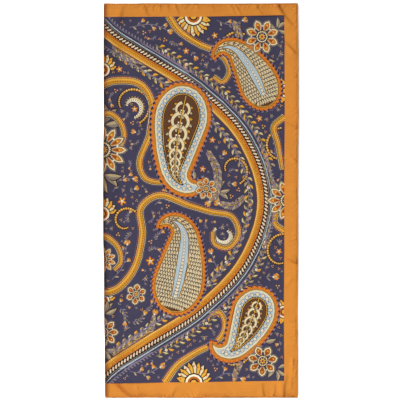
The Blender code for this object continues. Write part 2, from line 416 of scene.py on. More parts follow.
# ---------------- the print, as shapes laid over each other
class Print:
    """Flat inked shapes, each over those before it, and masked by one of them."""

    def __init__(self):
        self.points, self.faces, self.inks, self.masks = [], [], [], []
        self.mask = -1  # the shape that masks those laid now, or -1 for none
        self.taken = np.zeros((int(HALF), int(CUT)), bool)  # square millimetres with a motif on them
        self.cells = np.stack(np.mgrid[: int(HALF), : int(CUT)], -1) + 0.5

    def lay(self, shape, ink, place=(0, 0), heading=0.0, size=1.0):
        """Lays a shape at a place, turned to a heading. Returns its number, or -1 for too small a one."""
        outline = turned(shape, heading, place, size)
        outline = outline[np.hypot(*(outline - np.roll(outline, 1, axis=0)).T) > 0.03]
        area = crossed(outline, np.roll(outline, -1, 0)).sum() / 2
        if len(outline) < 3 or abs(area) < 0.05:
            return -1
        if area < 0:
            outline = outline[::-1]
        # Blender fills a face from its first edge, so that edge starts at an outer corner.
        outline = np.roll(outline, -np.lexsort((outline[:, 1], outline[:, 0]))[0], axis=0)
        first = len(self.points)
        self.points.extend(map(tuple, outline))
        self.faces.append(list(range(first, len(self.points))))
        self.inks.append(INK_NAMES.index(ink))
        self.masks.append(self.mask)
        return len(self.faces) - 1

    def dot(self, place, size, ink, steps=6):
        self.lay(ellipse(size, size, steps), ink, place)

    def petals(self, place, heading, size, *rows, steps=4, fullness=0.6):
        """Petals from one place, each by its turn, its length and width in sizes, and its ink."""
        for turn, length, width, ink in rows:
            self.lay(petal(size * length, size * width, steps, fullness), ink, place, heading + turn)

    def lane(self, line, near, far, ink):
        """The strip between two distances to the left of a line, as a row of short pieces."""
        one, other = beside(line, near), beside(line, far)
        for k in range(len(line) - 1):
            corners = np.array((one[k], one[k + 1], other[k + 1], other[k]))
            off = corners - corners.mean(0)
            self.lay(corners[np.argsort(np.arctan2(off[:, 1], off[:, 0]))], ink)

    def stripes(self, line, *stripes):
        """Strips with their middle on a line, each by half its width and its ink."""
        for half, ink in stripes:
            self.lane(line, -half, half, ink)

    def take(self, outline):
        """Marks where a motif lies, so that the small fillers keep off it."""
        low = np.maximum(np.floor(outline.min(0)).astype(int), 0)
        high = np.minimum(np.ceil(outline.max(0)).astype(int) + 1, self.taken.shape)
        if (low >= high).any():
            return
        window = slice(low[0], high[0]), slice(low[1], high[1])
        x, y = np.moveaxis(self.cells[window], -1, 0)
        inside = np.zeros(x.shape, bool)
        for (x0, y0), (x1, y1) in zip(outline, np.roll(outline, -1, 0)):
            if y0 != y1:
                between = (y >= min(y0, y1)) & (y < max(y0, y1))
                inside ^= between & (x < x0 + (y - y0) / (y1 - y0) * (x1 - x0))
        self.taken[window] |= inside

    def take_lane(self, line, far, near=None):
        """Marks the strip between two distances, or to one distance on both sides of a line."""
        near = -far if near is None else near
        self.take(np.vstack((beside(line, near), beside(line, far)[::-1])))


# ---------------- motifs: long ones, along a line
def rope(ink, line, width, pitch):
    """Slanted cream strands on a dark cord."""
    half = width / 2
    ink.take_lane(line, half + 3)
    ink.stripes(line, (half + 2.6, "taupe"), (half + 1.2, "umber"))
    for place, heading, _ in stations(line, pitch):
        lean = heading + math.radians(52)
        ink.lay(ellipse(width * 1.12, pitch * 0.46, 8), "milk", place, lean)
        ink.lay(ellipse(width * 0.8, pitch * 0.2, 6), "sand", aside(place, lean, 0, -0.9), lean)
        ink.lay(ellipse(width * 0.62, 1.5, 6), "copper", aside(place, heading, pitch / 2), lean)


def braid(ink, line, width):
    """An orange band with a braided face, a bright beaded edge and small scallops."""
    half = width / 2
    ink.take_lane(line, half + 3, -half - 4)
    ink.lane(line, half + 0.2, half + 1.6, "brown")
    for place, heading, _ in stations(line, 5.6):
        for size, colour in ((1.32, "brown"), (1.0, "orange")):
            ink.lay(ellipse(6.4, 5.6, 8), colour, aside(place, heading, 0, -half), heading, size)
    ink.lane(line, -half - 0.2, half, "copper")
    ink.lane(line, 2.6 - half, half - 0.6, "amber")
    ink.lane(line, half - 4.4, half - 0.6, "gold")
    for place, heading, _ in stations(line, 5.0):
        for off, lean in ((-3.6, 0.6), (0.2, -0.6)):
            ink.lay(petal(4.6, 1.7, 3), "copper", aside(place, heading, -2, off), heading + lean)
        ink.lay(ellipse(3.0, 1.5, 6), "cream", aside(place, heading, 0, half - 2.0), heading)
        ink.lay(ellipse(1.3, 1.7, 4), "rust", aside(place, heading, 2.5, half - 3.9), heading)


def fringe_line(ink, line, side):
    """A thin muted stem with small leaves on one side."""
    ink.take_lane(line, 8.75 * side, -2.5 * side)
    ink.stripes(line, (0.75, "mauve"))
    for k, (place, heading, _) in enumerate(stations(line, 8.125)):
        ink.lay(petal(8.0, 3.75), ("mauve", "taupe")[k % 2], place, heading + side * 0.95)


def bead_arc(ink, line, large, small=2.4):
    """Gold beads along a line, growing and shrinking, with a dark rim and a light spot."""
    ink.take_lane(line, large)
    ink.stripes(line, (large * 0.72, "umber"))
    run, at, k = run_of(line), 0.0, 0
    while at < run[-1]:
        share = min(at / run[-1] * 0.8 + 0.15, 1)
        size = small + (large - small) * math.sin(math.pi * share) ** 0.7
        place = places_at(line, run, at)
        ink.dot(place, size + 1.5, "brown", 8)
        ink.dot(place, size, ("gold", "amber")[k % 2], 8)
        ink.dot(place + (-size * 0.14, size * 0.16), size * 0.42, "cream", 5)
        at += size + 0.4
        k += 1


def toothed_vine(ink, line, width, side):
    """A pale tapering stem with curled teeth on one side, like a fern."""
    taper = np.sin(math.pi * np.linspace(0.12, 0.98, len(line))) * width / 2
    ink.take_lane(line, width * 1.2)
    ink.stripes(line, (taper + 1.3, "umber"))
    for place, heading, share in stations(line, 5.2):
        reach = width * (0.5 + 0.8 * math.sin(math.pi * share))
        tooth = petal(reach * 1.5, 3.4, 4, 0.4, 0.14 * side)
        for size, colour in ((1.16, "umber"), (1.0, "milk")):
            ink.lay(tooth, colour, place, heading + side * 1.15, size)
        ink.dot(aside(place, heading, 0, -side * (reach * 0.55 + 1.2)), 2.6, "amber")
    ink.stripes(line, (taper, "cream"))
    ink.lane(line, -taper * 0.2, taper * 0.35, "sand")


def twin_line(ink, line, gap):
    """A pale line with dashes between two dark ones."""
    ink.take_lane(line, gap)
    ink.stripes(line, (gap / 2 + 1.3, "umber"), (gap / 2, "sky"))
    for place, heading, _ in stations(line, 4.2):
        ink.lay(ellipse(2.3, 1.5, 4), "umber", place, heading)


def garland(ink, line, size):
    """Overlapping two-toned leaves to both sides of a stem, with a star flower now and then."""
    ink.take_lane(line, size)
    ink.stripes(line, (0.8, "olive"))
    for k, (place, heading, _) in enumerate(stations(line, size * 0.62)):
        side = 1 if k % 2 else -1
        inks = (("taupe", "sand", "umber"), ("amber", "gold", "brown"), ("olive", "cream", "umber"))[k % 3]
        leaf(ink, place, heading + side * 0.72, size * 1.15, size * 0.46, 0.12 * side, inks)
    for place, heading, _ in stations(line, size * 4.2):
        star_flower(ink, place, size * 0.36, 8, heading)


def slim_band(ink, line, width):
    """A gold band with orange scallops and copper lozenges, tapering towards its curled tip."""

    def half_at(left):
        """Half the band's width, by the share of it that is left up to the tip."""
        return (0.35 + 0.65 * left**0.6) * width / 2

    taper = half_at(np.linspace(1, 0, len(line)))
    ink.take_lane(line, width + 2)
    ink.lane(line, -taper - 4.6, taper + 5.6, "mauve")
    ink.lane(line, -taper - 4.0, taper + 4.8, "umber")
    for place, heading, share in stations(line, 4.7):
        edge = aside(place, heading, 0, half_at(1 - share) + 1.4)
        ink.lay(ellipse(5.2, 4.6, 8), "orange", edge, heading)
    ink.lane(line, -taper - 2.4, taper + 1.6, "cream")
    ink.lane(line, -taper - 1.4, taper + 1.0, "umber")
    ink.lane(line, -taper, taper, "amber")
    ink.lane(line, taper * 0.2, taper * 0.85, "gold")
    for place, heading, share in stations(line, 5.6):
        half = half_at(1 - share)
        ink.lay(ellipse(3.6, half * 0.6, 4), "rust", aside(place, heading, 0, -half * 0.3), heading)


def plume(ink, line, size):
    """A feathered stem: long thin leaves close together on both sides, shorter towards its tip."""
    ink.take_lane(line, size * 0.8)
    for k, (place, heading, share) in enumerate(stations(line, size * 0.3)):
        reach = size * math.sin(math.pi * (0.18 + 0.78 * share)) ** 0.7
        for side in (1, -1):
            shape = petal(reach, size * 0.26, 4, 0.6, 0.1 * side)
            ink.lay(shape, "umber", place, heading + side * 0.62, 1.12)
            ink.lay(shape, ("taupe", "sand", "mauve")[(k + side) % 3], place, heading + side * 0.62)
    ink.stripes(line, (0.9, "umber"), (0.5, "gold"))
    tulip(ink, line[-1], heading_of(line[-1] - line[-2]), size * 0.8)


# ---------------- motifs: flowers and leaves
def blossom(ink, place, radius, petals, heading, face):
    """A rosette: rimmed petals with a shaded drop in each, round a cogged navy heart."""
    ink.take(ellipse(2 * radius + 3, 2 * radius + 3, 16) + place)
    wide = 2 * math.pi / petals * radius * 0.56
    start = radius * 0.30
    turns = [heading + 2 * math.pi * k / petals for k in range(petals)]
    for length, width, colour in (
        (1.10, 1.24, "taupe"), (1.03, 1.10, "umber"), (0.97, 0.96, "cream"), (0.80, 0.66, "umber"),
        (0.75, 0.56, face), (0.56, 0.30, "rust"),
    ):
        shape = petal((radius - start) * length, wide * width, 5, 0.62)
        shift = (radius - start) * (0.97 - length) * 0.25
        for turn in turns:
            ink.lay(shape, colour, aside(place, turn, start + max(shift, -1.5)), turn)
    for turn in turns:
        ink.dot(aside(place, turn, start + (radius - start) * 0.56), radius * 0.10, "gold")
        ink.dot(aside(place, turn + math.pi / petals, radius * 0.62), radius * 0.085, "milk")
    ink.lay(star(petals * 2, radius * 0.40, 0.84), "umber", place, heading)
    ink.lay(star(petals * 2, radius * 0.34, 0.84), "cream", place, heading)
    ink.dot(place, radius * 0.52, "navy", 12)
    ink.lay(star(petals, radius * 0.23, 0.5), "gold", place, heading)
    ink.dot(place, radius * 0.16, "rust")


def star_flower(ink, place, radius, points, heading, heart="copper"):
    """A small open flower seen from above."""
    ink.lay(star(points, radius * 1.28, 0.62), "umber", place, heading)
    ink.lay(star(points, radius, 0.55), "milk", place, heading)
    ink.dot(place, radius * 0.62, heart)


def tulip(ink, place, heading, size):
    """A bud of three petals on a calyx."""
    outer, inner = (0.92, 0.42, "orange"), (1.0, 0.36, "gold")
    petals = (0.62, *outer), (-0.62, *outer), (0.28, *inner), (-0.28, *inner), (0, 1.12, 0.34, "rust")
    ink.petals(place, heading, size, *petals, fullness=0.55)
    calyx = (0, 0.72, 0.16, "cream"), (1.25, 0.5, 0.2, "taupe"), (-1.25, 0.5, 0.2, "taupe")
    ink.petals(place, heading, size, *calyx, steps=3)
    ink.dot(place, size * 0.3, "milk")


def leaf(ink, place, heading, length, width, bend=0.1, inks=("taupe", "sand", "umber")):
    """A leaf in two tones with a dark rim and a vein."""
    shape = petal(length, width, 6, 0.5, bend)
    ink.lay(petal(length * 1.08, width * 1.3, 6, 0.5, bend), inks[2], place, heading)
    ink.lay(shape, inks[0], place, heading)
    upper = shape[:7]
    middle = np.column_stack((upper[:, 0], bend * length * np.sin(math.pi * upper[:, 0] / length)))
    ink.lay(np.vstack((upper, middle[1:-1][::-1])), inks[1], place, heading)


def palmette(ink, place, heading, radius, rays):
    """A fan of rays over a striped half round."""
    spread = 2.6
    ink.take(turned(ellipse(radius * 1.5, radius * 1.7, 12) + (radius * 0.5, 0), heading, place))
    for k in range(rays):
        turn = heading + spread * (k / (rays - 1) - 0.5)
        reach = radius * (1.0 - 0.16 * abs(k / (rays - 1) - 0.5) * 2)
        wide = radius * spread / rays * 1.02
        ink.lay(petal(reach * 1.06, wide * 1.35, 4, 0.72), "umber", place, turn)
        ink.lay(petal(reach, wide, 4, 0.72), ("gold", "cream")[k % 2], place, turn)
        ink.dot(aside(place, turn, reach * 0.78), wide * 0.42, "orange", 5)
    for size, colour in ((0.94, "umber"), (0.82, "milk"), (0.62, "copper"), (0.42, "umber"), (0.3, "gold")):
        ink.dot(place, radius * size, colour, 12)


def spray(ink, line, buds, size):
    """A curved stem with paired leaves and buds on short stalks, ending in a bud."""
    ink.take_lane(line, size * 0.9)
    ink.stripes(line, (0.65, "mauve"))
    for k, (place, heading, share) in enumerate(stations(line, 9.5, 0.8)):
        side = 1 if k % 2 else -1
        shape = petal(size * (0.95 - 0.35 * share), size * 0.3)
        ink.lay(shape, "taupe" if k % 3 else "sand", place, heading + side * 0.8)
    step = max(len(line) // (buds + 1), 1)
    for k in range(1, buds + 1):
        place = line[min(k * step, len(line) - 1)]
        heading = heading_of(line[min(k * step + 1, len(line) - 1)] - line[max(k * step - 1, 0)])
        side = 1 if k % 2 else -1
        out = aside(place, heading, size * 0.55, side * size * 0.62)
        ink.stripes(np.array((place, out)), (0.5, "mauve"))
        tulip(ink, out, heading + side * 0.55, size * 0.72)
    tulip(ink, line[-1], heading_of(line[-1] - line[-2]), size)


# ---------------- motifs: small fillers
def bud(ink, place, heading, size):
    line = place + turned([(-size, 0), (-size * 0.3, size * 0.12), (0, 0)], heading)
    ink.stripes(line, (0.55, "mauve"))
    ink.petals(line[0], heading, size, (0.75, 0.8, 0.26, "taupe"), (-0.75, 0.8, 0.26, "taupe"))
    tulip(ink, place, heading, size * 0.9)


def daisy(ink, place, heading, size):
    for k in range(5):
        turn = heading + 2 * math.pi * k / 5
        ink.lay(petal(size * 0.95, size * 0.52, 4, 0.65), "copper", place, turn)
        ink.lay(petal(size * 0.72, size * 0.3, 3, 0.65), "gold", place, turn)
    ink.dot(place, size * 0.5, "milk")
    ink.dot(place, size * 0.24, "rust", 5)


def leaflets(ink, place, heading, size):
    for turn, colour in ((0, "sand"), (0.8, "mauve"), (-0.8, "mauve"), (1.7, "taupe"), (-1.7, "taupe")):
        ink.petals(place, heading, size, (turn, 1, 0.3, colour))
    ink.dot(place, size * 0.36, "amber")


def berries(ink, place, heading, size):
    for k in range(3):
        out = aside(place, heading + 2.1 * k, size * 0.55)
        ink.dot(out, size * 0.62, "amber" if k else "orange")
        ink.dot(out, size * 0.26, "cream", 4)


def rosette(ink, place, heading, size):
    blossom(ink, place, size * 1.12, 6, heading, "copper")


def fan(ink, place, heading, size):
    for turn in (2.6, -2.6, 2.0, -2.0):
        leaf(ink, place, heading + turn, size * 1.05, size * 0.4)
    palmette(ink, aside(place, heading, -size * 0.2), heading, size * 1.1, 7)


def bough(ink, place, heading, size):
    """A bowed twig with leaves to both sides and a bud. Its place says which way it bows."""
    bow = 0.35 if int(place[0] * 7 + place[1] * 3) % 2 else -0.35
    knots = [(-size, 0), (-size * 0.3, size * bow), (size * 0.35, size * bow), (size, 0)]
    line = curve(turned(knots, heading, place), 3.0)
    ink.stripes(line, (0.6, "mauve"))
    for k, (at, way, share) in enumerate(stations(line, max(size * 0.24, 2.4), 0.2)):
        side = 1 if k % 2 else -1
        reach = size * 0.62 * (1 - 0.45 * share)
        shape = petal(reach, reach * 0.36, 4, 0.6, 0.12 * side)
        ink.lay(shape, ("taupe", "mauve", "sand", "olive")[k % 4], at, way + side * 0.75)
    tulip(ink, line[-1], heading_of(line[-1] - line[-2]), size * 0.62)


# ---------------- the paisley drop
class Drop:
    """A bent drop: a spine from the round end to the tip, and how wide it is along it."""

    STEPS = 89  # of the spine
    ROUND_END = 0.26  # the drop is widest at this share of its spine
    HOOK_FROM = 0.62  # and its tip hooks over from this one on

    def __init__(self, place, heading, length, width, bend, hook):
        t = np.linspace(0, 1, self.STEPS + 1)
        late = np.clip((t - self.HOOK_FROM) / (1 - self.HOOK_FROM), 0, 1)
        angle = heading + bend * t**1.6 + hook * late**1.4
        steps = np.column_stack((np.cos(angle), np.sin(angle))) * length / self.STEPS
        self.spine = np.vstack(((0, 0), np.cumsum(steps, 0)[:-1])) + place
        rising = np.sqrt(np.clip(1 - ((t - self.ROUND_END) / self.ROUND_END) ** 2, 0, 1))
        falling = (1 - np.clip((t - self.ROUND_END) / (1 - self.ROUND_END), 0, 1) ** 1.45) ** 1.12
        self.half = np.where(t < self.ROUND_END, rising, falling) * width / 2
        self.length, self.width = length, width
        left = normals(self.spine)
        upper = self.spine + left * self.half[:, None]
        lower = self.spine - left * self.half[:, None]
        self.outline = resampled(ring(np.vstack((lower, upper[::-1][1:-1]))), 3.0)[:-1]
        if crossed(self.outline, np.roll(self.outline, -1, 0)).sum() < 0:
            self.outline = self.outline[::-1]

    def half_at(self, share):
        return np.interp(share * self.STEPS, np.arange(self.STEPS + 1), self.half)

    def at(self, share, across=0.0):
        """A point at a share of the spine and of the half width, with the spine's heading."""
        place = places_at(self.spine, np.arange(self.STEPS + 1), share * self.STEPS)
        low = int(min(share * self.STEPS, self.STEPS - 1))
        heading = heading_of(self.spine[low + 1] - self.spine[low])
        return aside(place, heading, 0, across * self.half_at(share)), heading


def edging(ink, drop, depth, pitch):
    """The orange scalloped edging round a drop, with its fine lines."""
    ink.take(inset(drop.outline, -depth - 4, 6))
    outer = inset(drop.outline, -depth * 0.55)
    for off, colour in ((-3.4, "mauve"), (-2.2, "night"), (0, "copper"), (1.1, "orange")):
        ink.lay(scalloped(inset(outer, off) if off else outer, pitch, depth * 0.5), colour)
    for place, heading, _ in stations(resampled(ring(outer), 2.5), pitch / 2):
        ink.lay(ellipse(2.6, 1.3, 5), "rust", aside(place, heading, 0, 0.4), heading + 0.7)
    ink.lay(inset(outer, 3.0), "rust")
    ink.lay(inset(outer, 3.9), "gold")


def scaled_drop(ink, drop):
    """A drop filled with overlapping leaf scales, each with a dot, round a narrow pale core."""
    edging(ink, drop, 8.0, 10.0)
    ink.lay(drop.outline, "umber")
    ink.lay(inset(drop.outline, 1.0), "gold")
    ground, ink.mask = ink.mask, ink.lay(inset(drop.outline, 2.2), "brown")
    rows = int(drop.length / 8.6)
    for row in range(rows, 0, -1):
        share = 0.98 * row / rows
        half = drop.half_at(share)
        columns = max(int(half / 6.4), 1)
        for column in range(-columns - 1, columns + 2):
            across = (column + 0.5 * (row % 2)) / (columns + 0.4)
            if abs(across) > 1.2:
                continue
            place, heading = drop.at(share, across)
            size = max(half / (columns + 0.4), 2.4)
            lean = heading - across * 0.5
            for length, width, colour in (
                (2.25, 1.30, "umber"), (2.02, 1.06, "taupe"), (1.80, 0.84, "cream"), (1.1, 0.34, "sand"),
            ):
                ink.lay(petal(size * length, size * width, 5, 0.45), colour, place, lean)
            ink.dot(aside(place, lean, size * 1.25), 1.5, "rust", 5)
    ink.mask = ground
    middle = np.array([drop.at(share)[0] for share in np.linspace(0.13, 0.86, 40)])
    half = np.sin(math.pi * np.linspace(0.2, 1, 40)) ** 0.8 * drop.width * 0.11
    ink.stripes(middle, (half + 2.4, "gold"), (half + 1.5, "umber"), (half, "sky"))
    for side in (-1, 1):
        rail = beside(middle, side * np.maximum(half - 2.2, 0))
        for place, _, share in stations(rail, 3.6):
            if share < 0.86:
                ink.dot(place, 1.3, "umber", 4)
    for place, heading, share in stations(middle, 7.6):
        size = drop.width * 0.05 * (1 - share) ** 0.5
        if size > 1.5:
            star_flower(ink, place, size, 6, heading, "gold")


def scroll(ink, place, heading, reach, side):
    """A curled leaf: a tapering stem that turns in on itself, with lobes on its outer side."""
    t = np.linspace(0, 1, 15)
    angle = heading + side * (1.15 - 4.6 * t**1.2)
    steps = np.column_stack((np.cos(angle), np.sin(angle))) * (reach * 0.165 * (1.15 - 0.7 * t))[:, None]
    line = np.cumsum(steps, 0) + place
    thick = (1 - t) ** 0.8 * reach * 0.10 + 0.45
    lobe = petal(reach * 0.34, reach * 0.17)
    for k in (2, 4, 6, 8):
        ink.lay(lobe, "umber", line[k], angle[k] + side * 0.9, 1.25)
        ink.lay(lobe, "amber" if k % 4 else "sand", line[k], angle[k] + side * 0.9)
    ink.stripes(line, (thick + 0.9, "umber"), (thick, "cream"))
    ink.dot(line[-1], reach * 0.2, "umber")
    ink.dot(line[-1], reach * 0.13, "milk", 5)


def ringed_drop(ink, drop):
    """A drop with a pale band of star flowers round a brown core with scrolls."""
    edging(ink, drop, 9.0, 12.0)
    ink.lay(drop.outline, "umber")
    ink.lay(inset(drop.outline, 1.3), "cream")
    ink.lay(scalloped(inset(drop.outline, 4.2), 6.5, -1.6, 4), "sky")
    band = ring(inset(drop.outline, 11.0))
    for k, (place, heading, _) in enumerate(stations(band, 13.0)):
        star_flower(ink, place, 4.6, 8, heading, "copper" if k % 2 else "gold")
    for place, _, _ in stations(band, 13.0, 0.0):
        ink.dot(place, 2.2, "umber", 5)
    ink.lay(scalloped(inset(drop.outline, 17.5), 6.5, 1.5, 4), "umber")
    ink.lay(inset(drop.outline, 18.6), "gold")
    ink.lay(inset(drop.outline, 20.0), "umber")
    ground, ink.mask = ink.mask, ink.lay(inset(drop.outline, 21.2), "brown")
    share = 0.13
    while share < 0.84 and drop.half_at(share) - 19 >= 3:
        half = drop.half_at(share) - 19
        place, heading = drop.at(share)
        for side in (1, -1):
            scroll(ink, place, heading, half * 0.86, side)
        share += max(half * 0.72, 7) / drop.length
    middle = np.array([drop.at(share)[0] for share in np.linspace(0.08, 0.86, 40)])
    ink.stripes(middle, (1.5, "umber"), (0.8, "gold"))
    ink.mask = ground


# ---------------- the layout of one half, by its cut
GROUND = ((-5, 33.0), (418.0, 38.8), (417.5, 872.0), (-5, 868.6))
OGEE = (
    (-34, 34), (14, 80), (96, 132), (214, 206), (318, 314), (362, 450),
    (318, 586), (214, 694), (96, 768), (14, 820), (-34, 866),
)
DROPS = (
    # kind, u, t, heading, length, width, bend, hook
    (scaled_drop, 156, 196, 74, 262, 108, 0.45, 2.6),
    (ringed_drop, 196, 712, -104, 292, 122, 0.45, 2.6),
    (scaled_drop, 380, 664, 110, 216, 84, 0.75, 2.0),
    (ringed_drop, 366, 246, -106, 214, 96, -0.75, -2.0),
)
BLOSSOMS = (
    # u, t, radius, petals, heading, face
    (0, 566, 56, 12, 90, "orange"),
    (0, 150, 34, 8, 90, "copper"),
    (424, 450, 46, 10, 0, "orange"),
    (366, 824, 40, 8, 20, "orange"),
    (368, 84, 36, 7, 10, "copper"),
    (238, 478, 26, 7, 40, "orange"),
    (0, 316, 30, 10, 90, "orange"),
)
ARCS = (
    # kind, u, t, radius, from, sweep, size
    ("beads", 300, 520, 34, -60, 250, 5.6),
    ("vine", 280, 372, 26, -220, 280, 6.0),
    ("beads", 62, 668, 46, -60, 250, 6.0),
    ("vine", 66, 664, 26, -80, 250, 5.0),
    ("beads", 306, 800, 36, 60, 200, 6.0),
    ("beads", 300, 112, 40, -20, -220, 6.0),
    ("beads", 416, 572, 44, 100, 190, 5.6),
    ("beads", 416, 330, 44, 80, 190, 5.6),
    ("beads", 54, 404, 30, 30, 260, 5.4),
)
BANDS = (
    # width, then (u, t) of the knots, from the root to the curled tip
    (
        12, (-16, 236), (34, 250), (74, 300), (92, 372), (88, 432), (132, 462), (196, 440),
        (250, 424), (296, 414), (312, 376), (290, 344), (258, 352), (254, 380),
    ),
    (
        12, (-16, 706), (30, 724), (84, 716), (112, 670), (106, 600), (84, 540), (98, 500),
        (138, 492), (152, 516), (136, 534),
    ),
    (9, (418, 642), (392, 618), (402, 578), (412, 520)),
    (11, (150, 872), (176, 836), (224, 806), (268, 786), (290, 750), (276, 722), (254, 734)),
    (11, (140, 34), (170, 74), (214, 104), (262, 128), (282, 164), (270, 196), (246, 190)),
    (9, (-16, 640), (14, 648), (38, 630), (48, 600), (40, 572)),
    (9, (-16, 372), (10, 366), (34, 344), (40, 312), (24, 292)),
    (9, (418, 380), (396, 400), (404, 430), (414, 452)),
)
PLUMES = (
    # leaf length, then (u, t) of the stem's knots
    (17, (240, 566), (262, 520), (262, 470), (246, 448)),
    (16, (20, 806), (60, 778), (112, 762), (150, 730)),
    (16, (20, 96), (60, 126), (104, 150), (118, 190)),
    (16, (330, 462), (300, 440), (268, 444)),
    (15, (408, 470), (384, 500), (376, 548)),
    (15, (408, 436), (384, 404), (372, 356)),
    (15, (300, 862), (312, 826), (300, 790)),
    (15, (300, 44), (312, 80), (300, 118)),
)
GARLANDS = (
    # leaf size, then (u, t) of the stem's knots
    (13, (20, 108), (92, 152), (196, 222), (286, 312), (328, 400), (336, 450)),
    (13, (20, 794), (92, 748), (196, 676), (286, 590), (330, 508), (336, 450)),
    (12, (120, 806), (206, 752), (290, 688), (352, 610), (386, 530)),
    (12, (120, 94), (206, 148), (290, 212), (352, 290), (386, 370)),
)
PALMETTES = (
    # u, t, heading, radius, rays
    (208, 872, -90, 50, 11),
    (208, 34, 90, 50, 11),
    (0, 748, 90, 38, 9),
    (0, 420, 90, 40, 9),
    (0, 222, 90, 34, 9),
    (418, 700, 180, 34, 9),
    (418, 196, 180, 34, 9),
)
SPRAYS = (
    # buds, size, then (u, t) of the stem's knots
    (3, 12, (24, 470), (40, 500), (70, 500)),
    (3, 12, (20, 270), (44, 300), (56, 350)),
    (3, 12, (250, 250), (262, 290), (250, 330)),
    (3, 12, (60, 846), (110, 852), (150, 838)),
    (3, 12, (60, 60), (100, 56), (130, 70)),
    (2, 12, (262, 862), (290, 852), (322, 862)),
    (2, 12, (258, 44), (286, 56), (318, 44)),
    (2, 10, (408, 540), (396, 560), (398, 600)),
    (2, 12, (120, 440), (168, 482), (190, 476)),
)
LEAVES = (
    # u, t, heading, spread, count, length
    (0, 622, 50, 70, 3, 44),
    (0, 510, -40, 70, 3, 40),
    (0, 190, 50, 50, 3, 30),
    (0, 112, -30, 50, 3, 30),
    (330, 800, 200, 100, 4, 34),
    (334, 110, 160, 90, 4, 34),
    (366, 778, -80, 120, 5, 28),
    (368, 128, 70, 120, 5, 28),
    (262, 470, 10, 170, 5, 28),
    (214, 494, 190, 160, 5, 26),
    (400, 840, 60, 150, 4, 24),
    (400, 66, -60, 150, 4, 24),
)
FILLED_SIDE, FILLED_FOOT, FILLED_TOP = 417, 40, 866  # the fillers keep inside these lines of the cut
FILLERS = (
    # radius of room, what may fill it, share of the places used
    (23, (rosette, fan, bough), 1.0),
    (17, (bough, bud, bough, fan), 1.0),
    (12.5, (bud, bough, daisy, bough), 1.0),
    (9.0, (bough, leaflets, bud, daisy), 1.0),
    (6.4, (leaflets, berries, leaflets, bud), 0.85),
    (4.2, (leaflets, berries), 0.45),
)


def arc(u, t, radius, start, sweep, inward=0.5):
    """A spiral that ends at a share of its radius."""
    share = np.linspace(0, 1, 60)
    turn = np.radians(start + sweep * share)
    reach = radius * (1 - (1 - inward) * share**1.6)
    return resampled(np.column_stack((np.cos(turn), np.sin(turn))) * reach[:, None] + (u, t), 3.2)


def fill(ink):
    """Small sprigs wherever there is room, the largest first."""
    rng = random.Random(7)
    for radius, motifs, used in FILLERS:
        rise = radius * 1.2
        spots = [
            (column * rise + rng.uniform(0, rise), row * rise + rng.uniform(0, rise))
            for row in range(int(CUT / rise))
            for column in range(int(HALF / rise))
        ]
        rng.shuffle(spots)
        reach = int(radius) + 1
        disc = np.hypot(*np.mgrid[-reach : reach + 1, -reach : reach + 1]) <= radius
        for u, t in spots:
            if not (radius <= u < FILLED_SIDE - radius and FILLED_FOOT + radius <= t < FILLED_TOP - radius):
                continue
            window = tuple(slice(max(int(at) - reach, 0), int(at) + reach + 1) for at in (u, t))
            room = ink.taken[window]
            if room.shape != disc.shape or (room & disc).any() or rng.random() > used:
                continue
            heading = rng.uniform(0, 2 * math.pi)
            motifs[rng.randrange(len(motifs))](ink, np.array((u, t)), heading, radius * 0.95)
            ink.taken[window] |= disc


def lay_print():
    """The whole print of one half, from its ground up."""
    ink = Print()
    square = ((0, SILK_FOOT), (SILK_SIDE, SILK_FOOT), (SILK_SIDE, SILK_TOP), (0, SILK_TOP))
    ink.mask = ink.lay(square, "border")
    ink.mask = ink.lay(GROUND, "navy")
    for u, t, heading, radius, rays in PALMETTES:
        palmette(ink, np.array((u, t)), math.radians(heading), radius, rays)
    for buds, size, *knots in SPRAYS:
        spray(ink, curve(knots, 4.0), buds, size)
    for u, t, heading, spread, count, length in LEAVES:
        for k in range(count):
            turn = math.radians(heading + spread * (k / (count - 1) - 0.5))
            root = aside((u, t), turn, 4)
            ink.take(turned(petal(length, length * 0.4, 5), turn, root))
            leaf(ink, root, turn, length, length * 0.34, 0.1 if k % 2 else -0.1)
    for size, *knots in GARLANDS:
        garland(ink, curve(knots, 4.5), size)
    for kind, u, t, radius, start, sweep, size in ARCS:
        line = arc(u, t, radius, start, sweep)
        if kind == "beads":
            bead_arc(ink, line, size)
        else:
            toothed_vine(ink, line, size, 1 if sweep > 0 else -1)
    for size, *knots in PLUMES:
        plume(ink, curve(knots, 4.0), size)
    for width, *knots in BANDS:
        slim_band(ink, curve(knots, 3.5), width)
    ogee = curve(OGEE, 4.5)
    fringe_line(ink, beside(ogee, 20), 1)
    fringe_line(ink, beside(ogee, -33), -1)
    twin_line(ink, beside(ogee, -26), 2.6)
    rope(ink, beside(ogee, -15), 9.0, 8.2)
    braid(ink, ogee, 13)
    for draw, u, t, heading, length, width, bend, hook in DROPS:
        draw(ink, Drop((u, t), math.radians(heading), length, width, bend, hook))
    for u, t, radius, petals, heading, face in BLOSSOMS:
        blossom(ink, np.array((u, t)), radius, petals, math.radians(heading), face)
    fill(ink)
    return ink


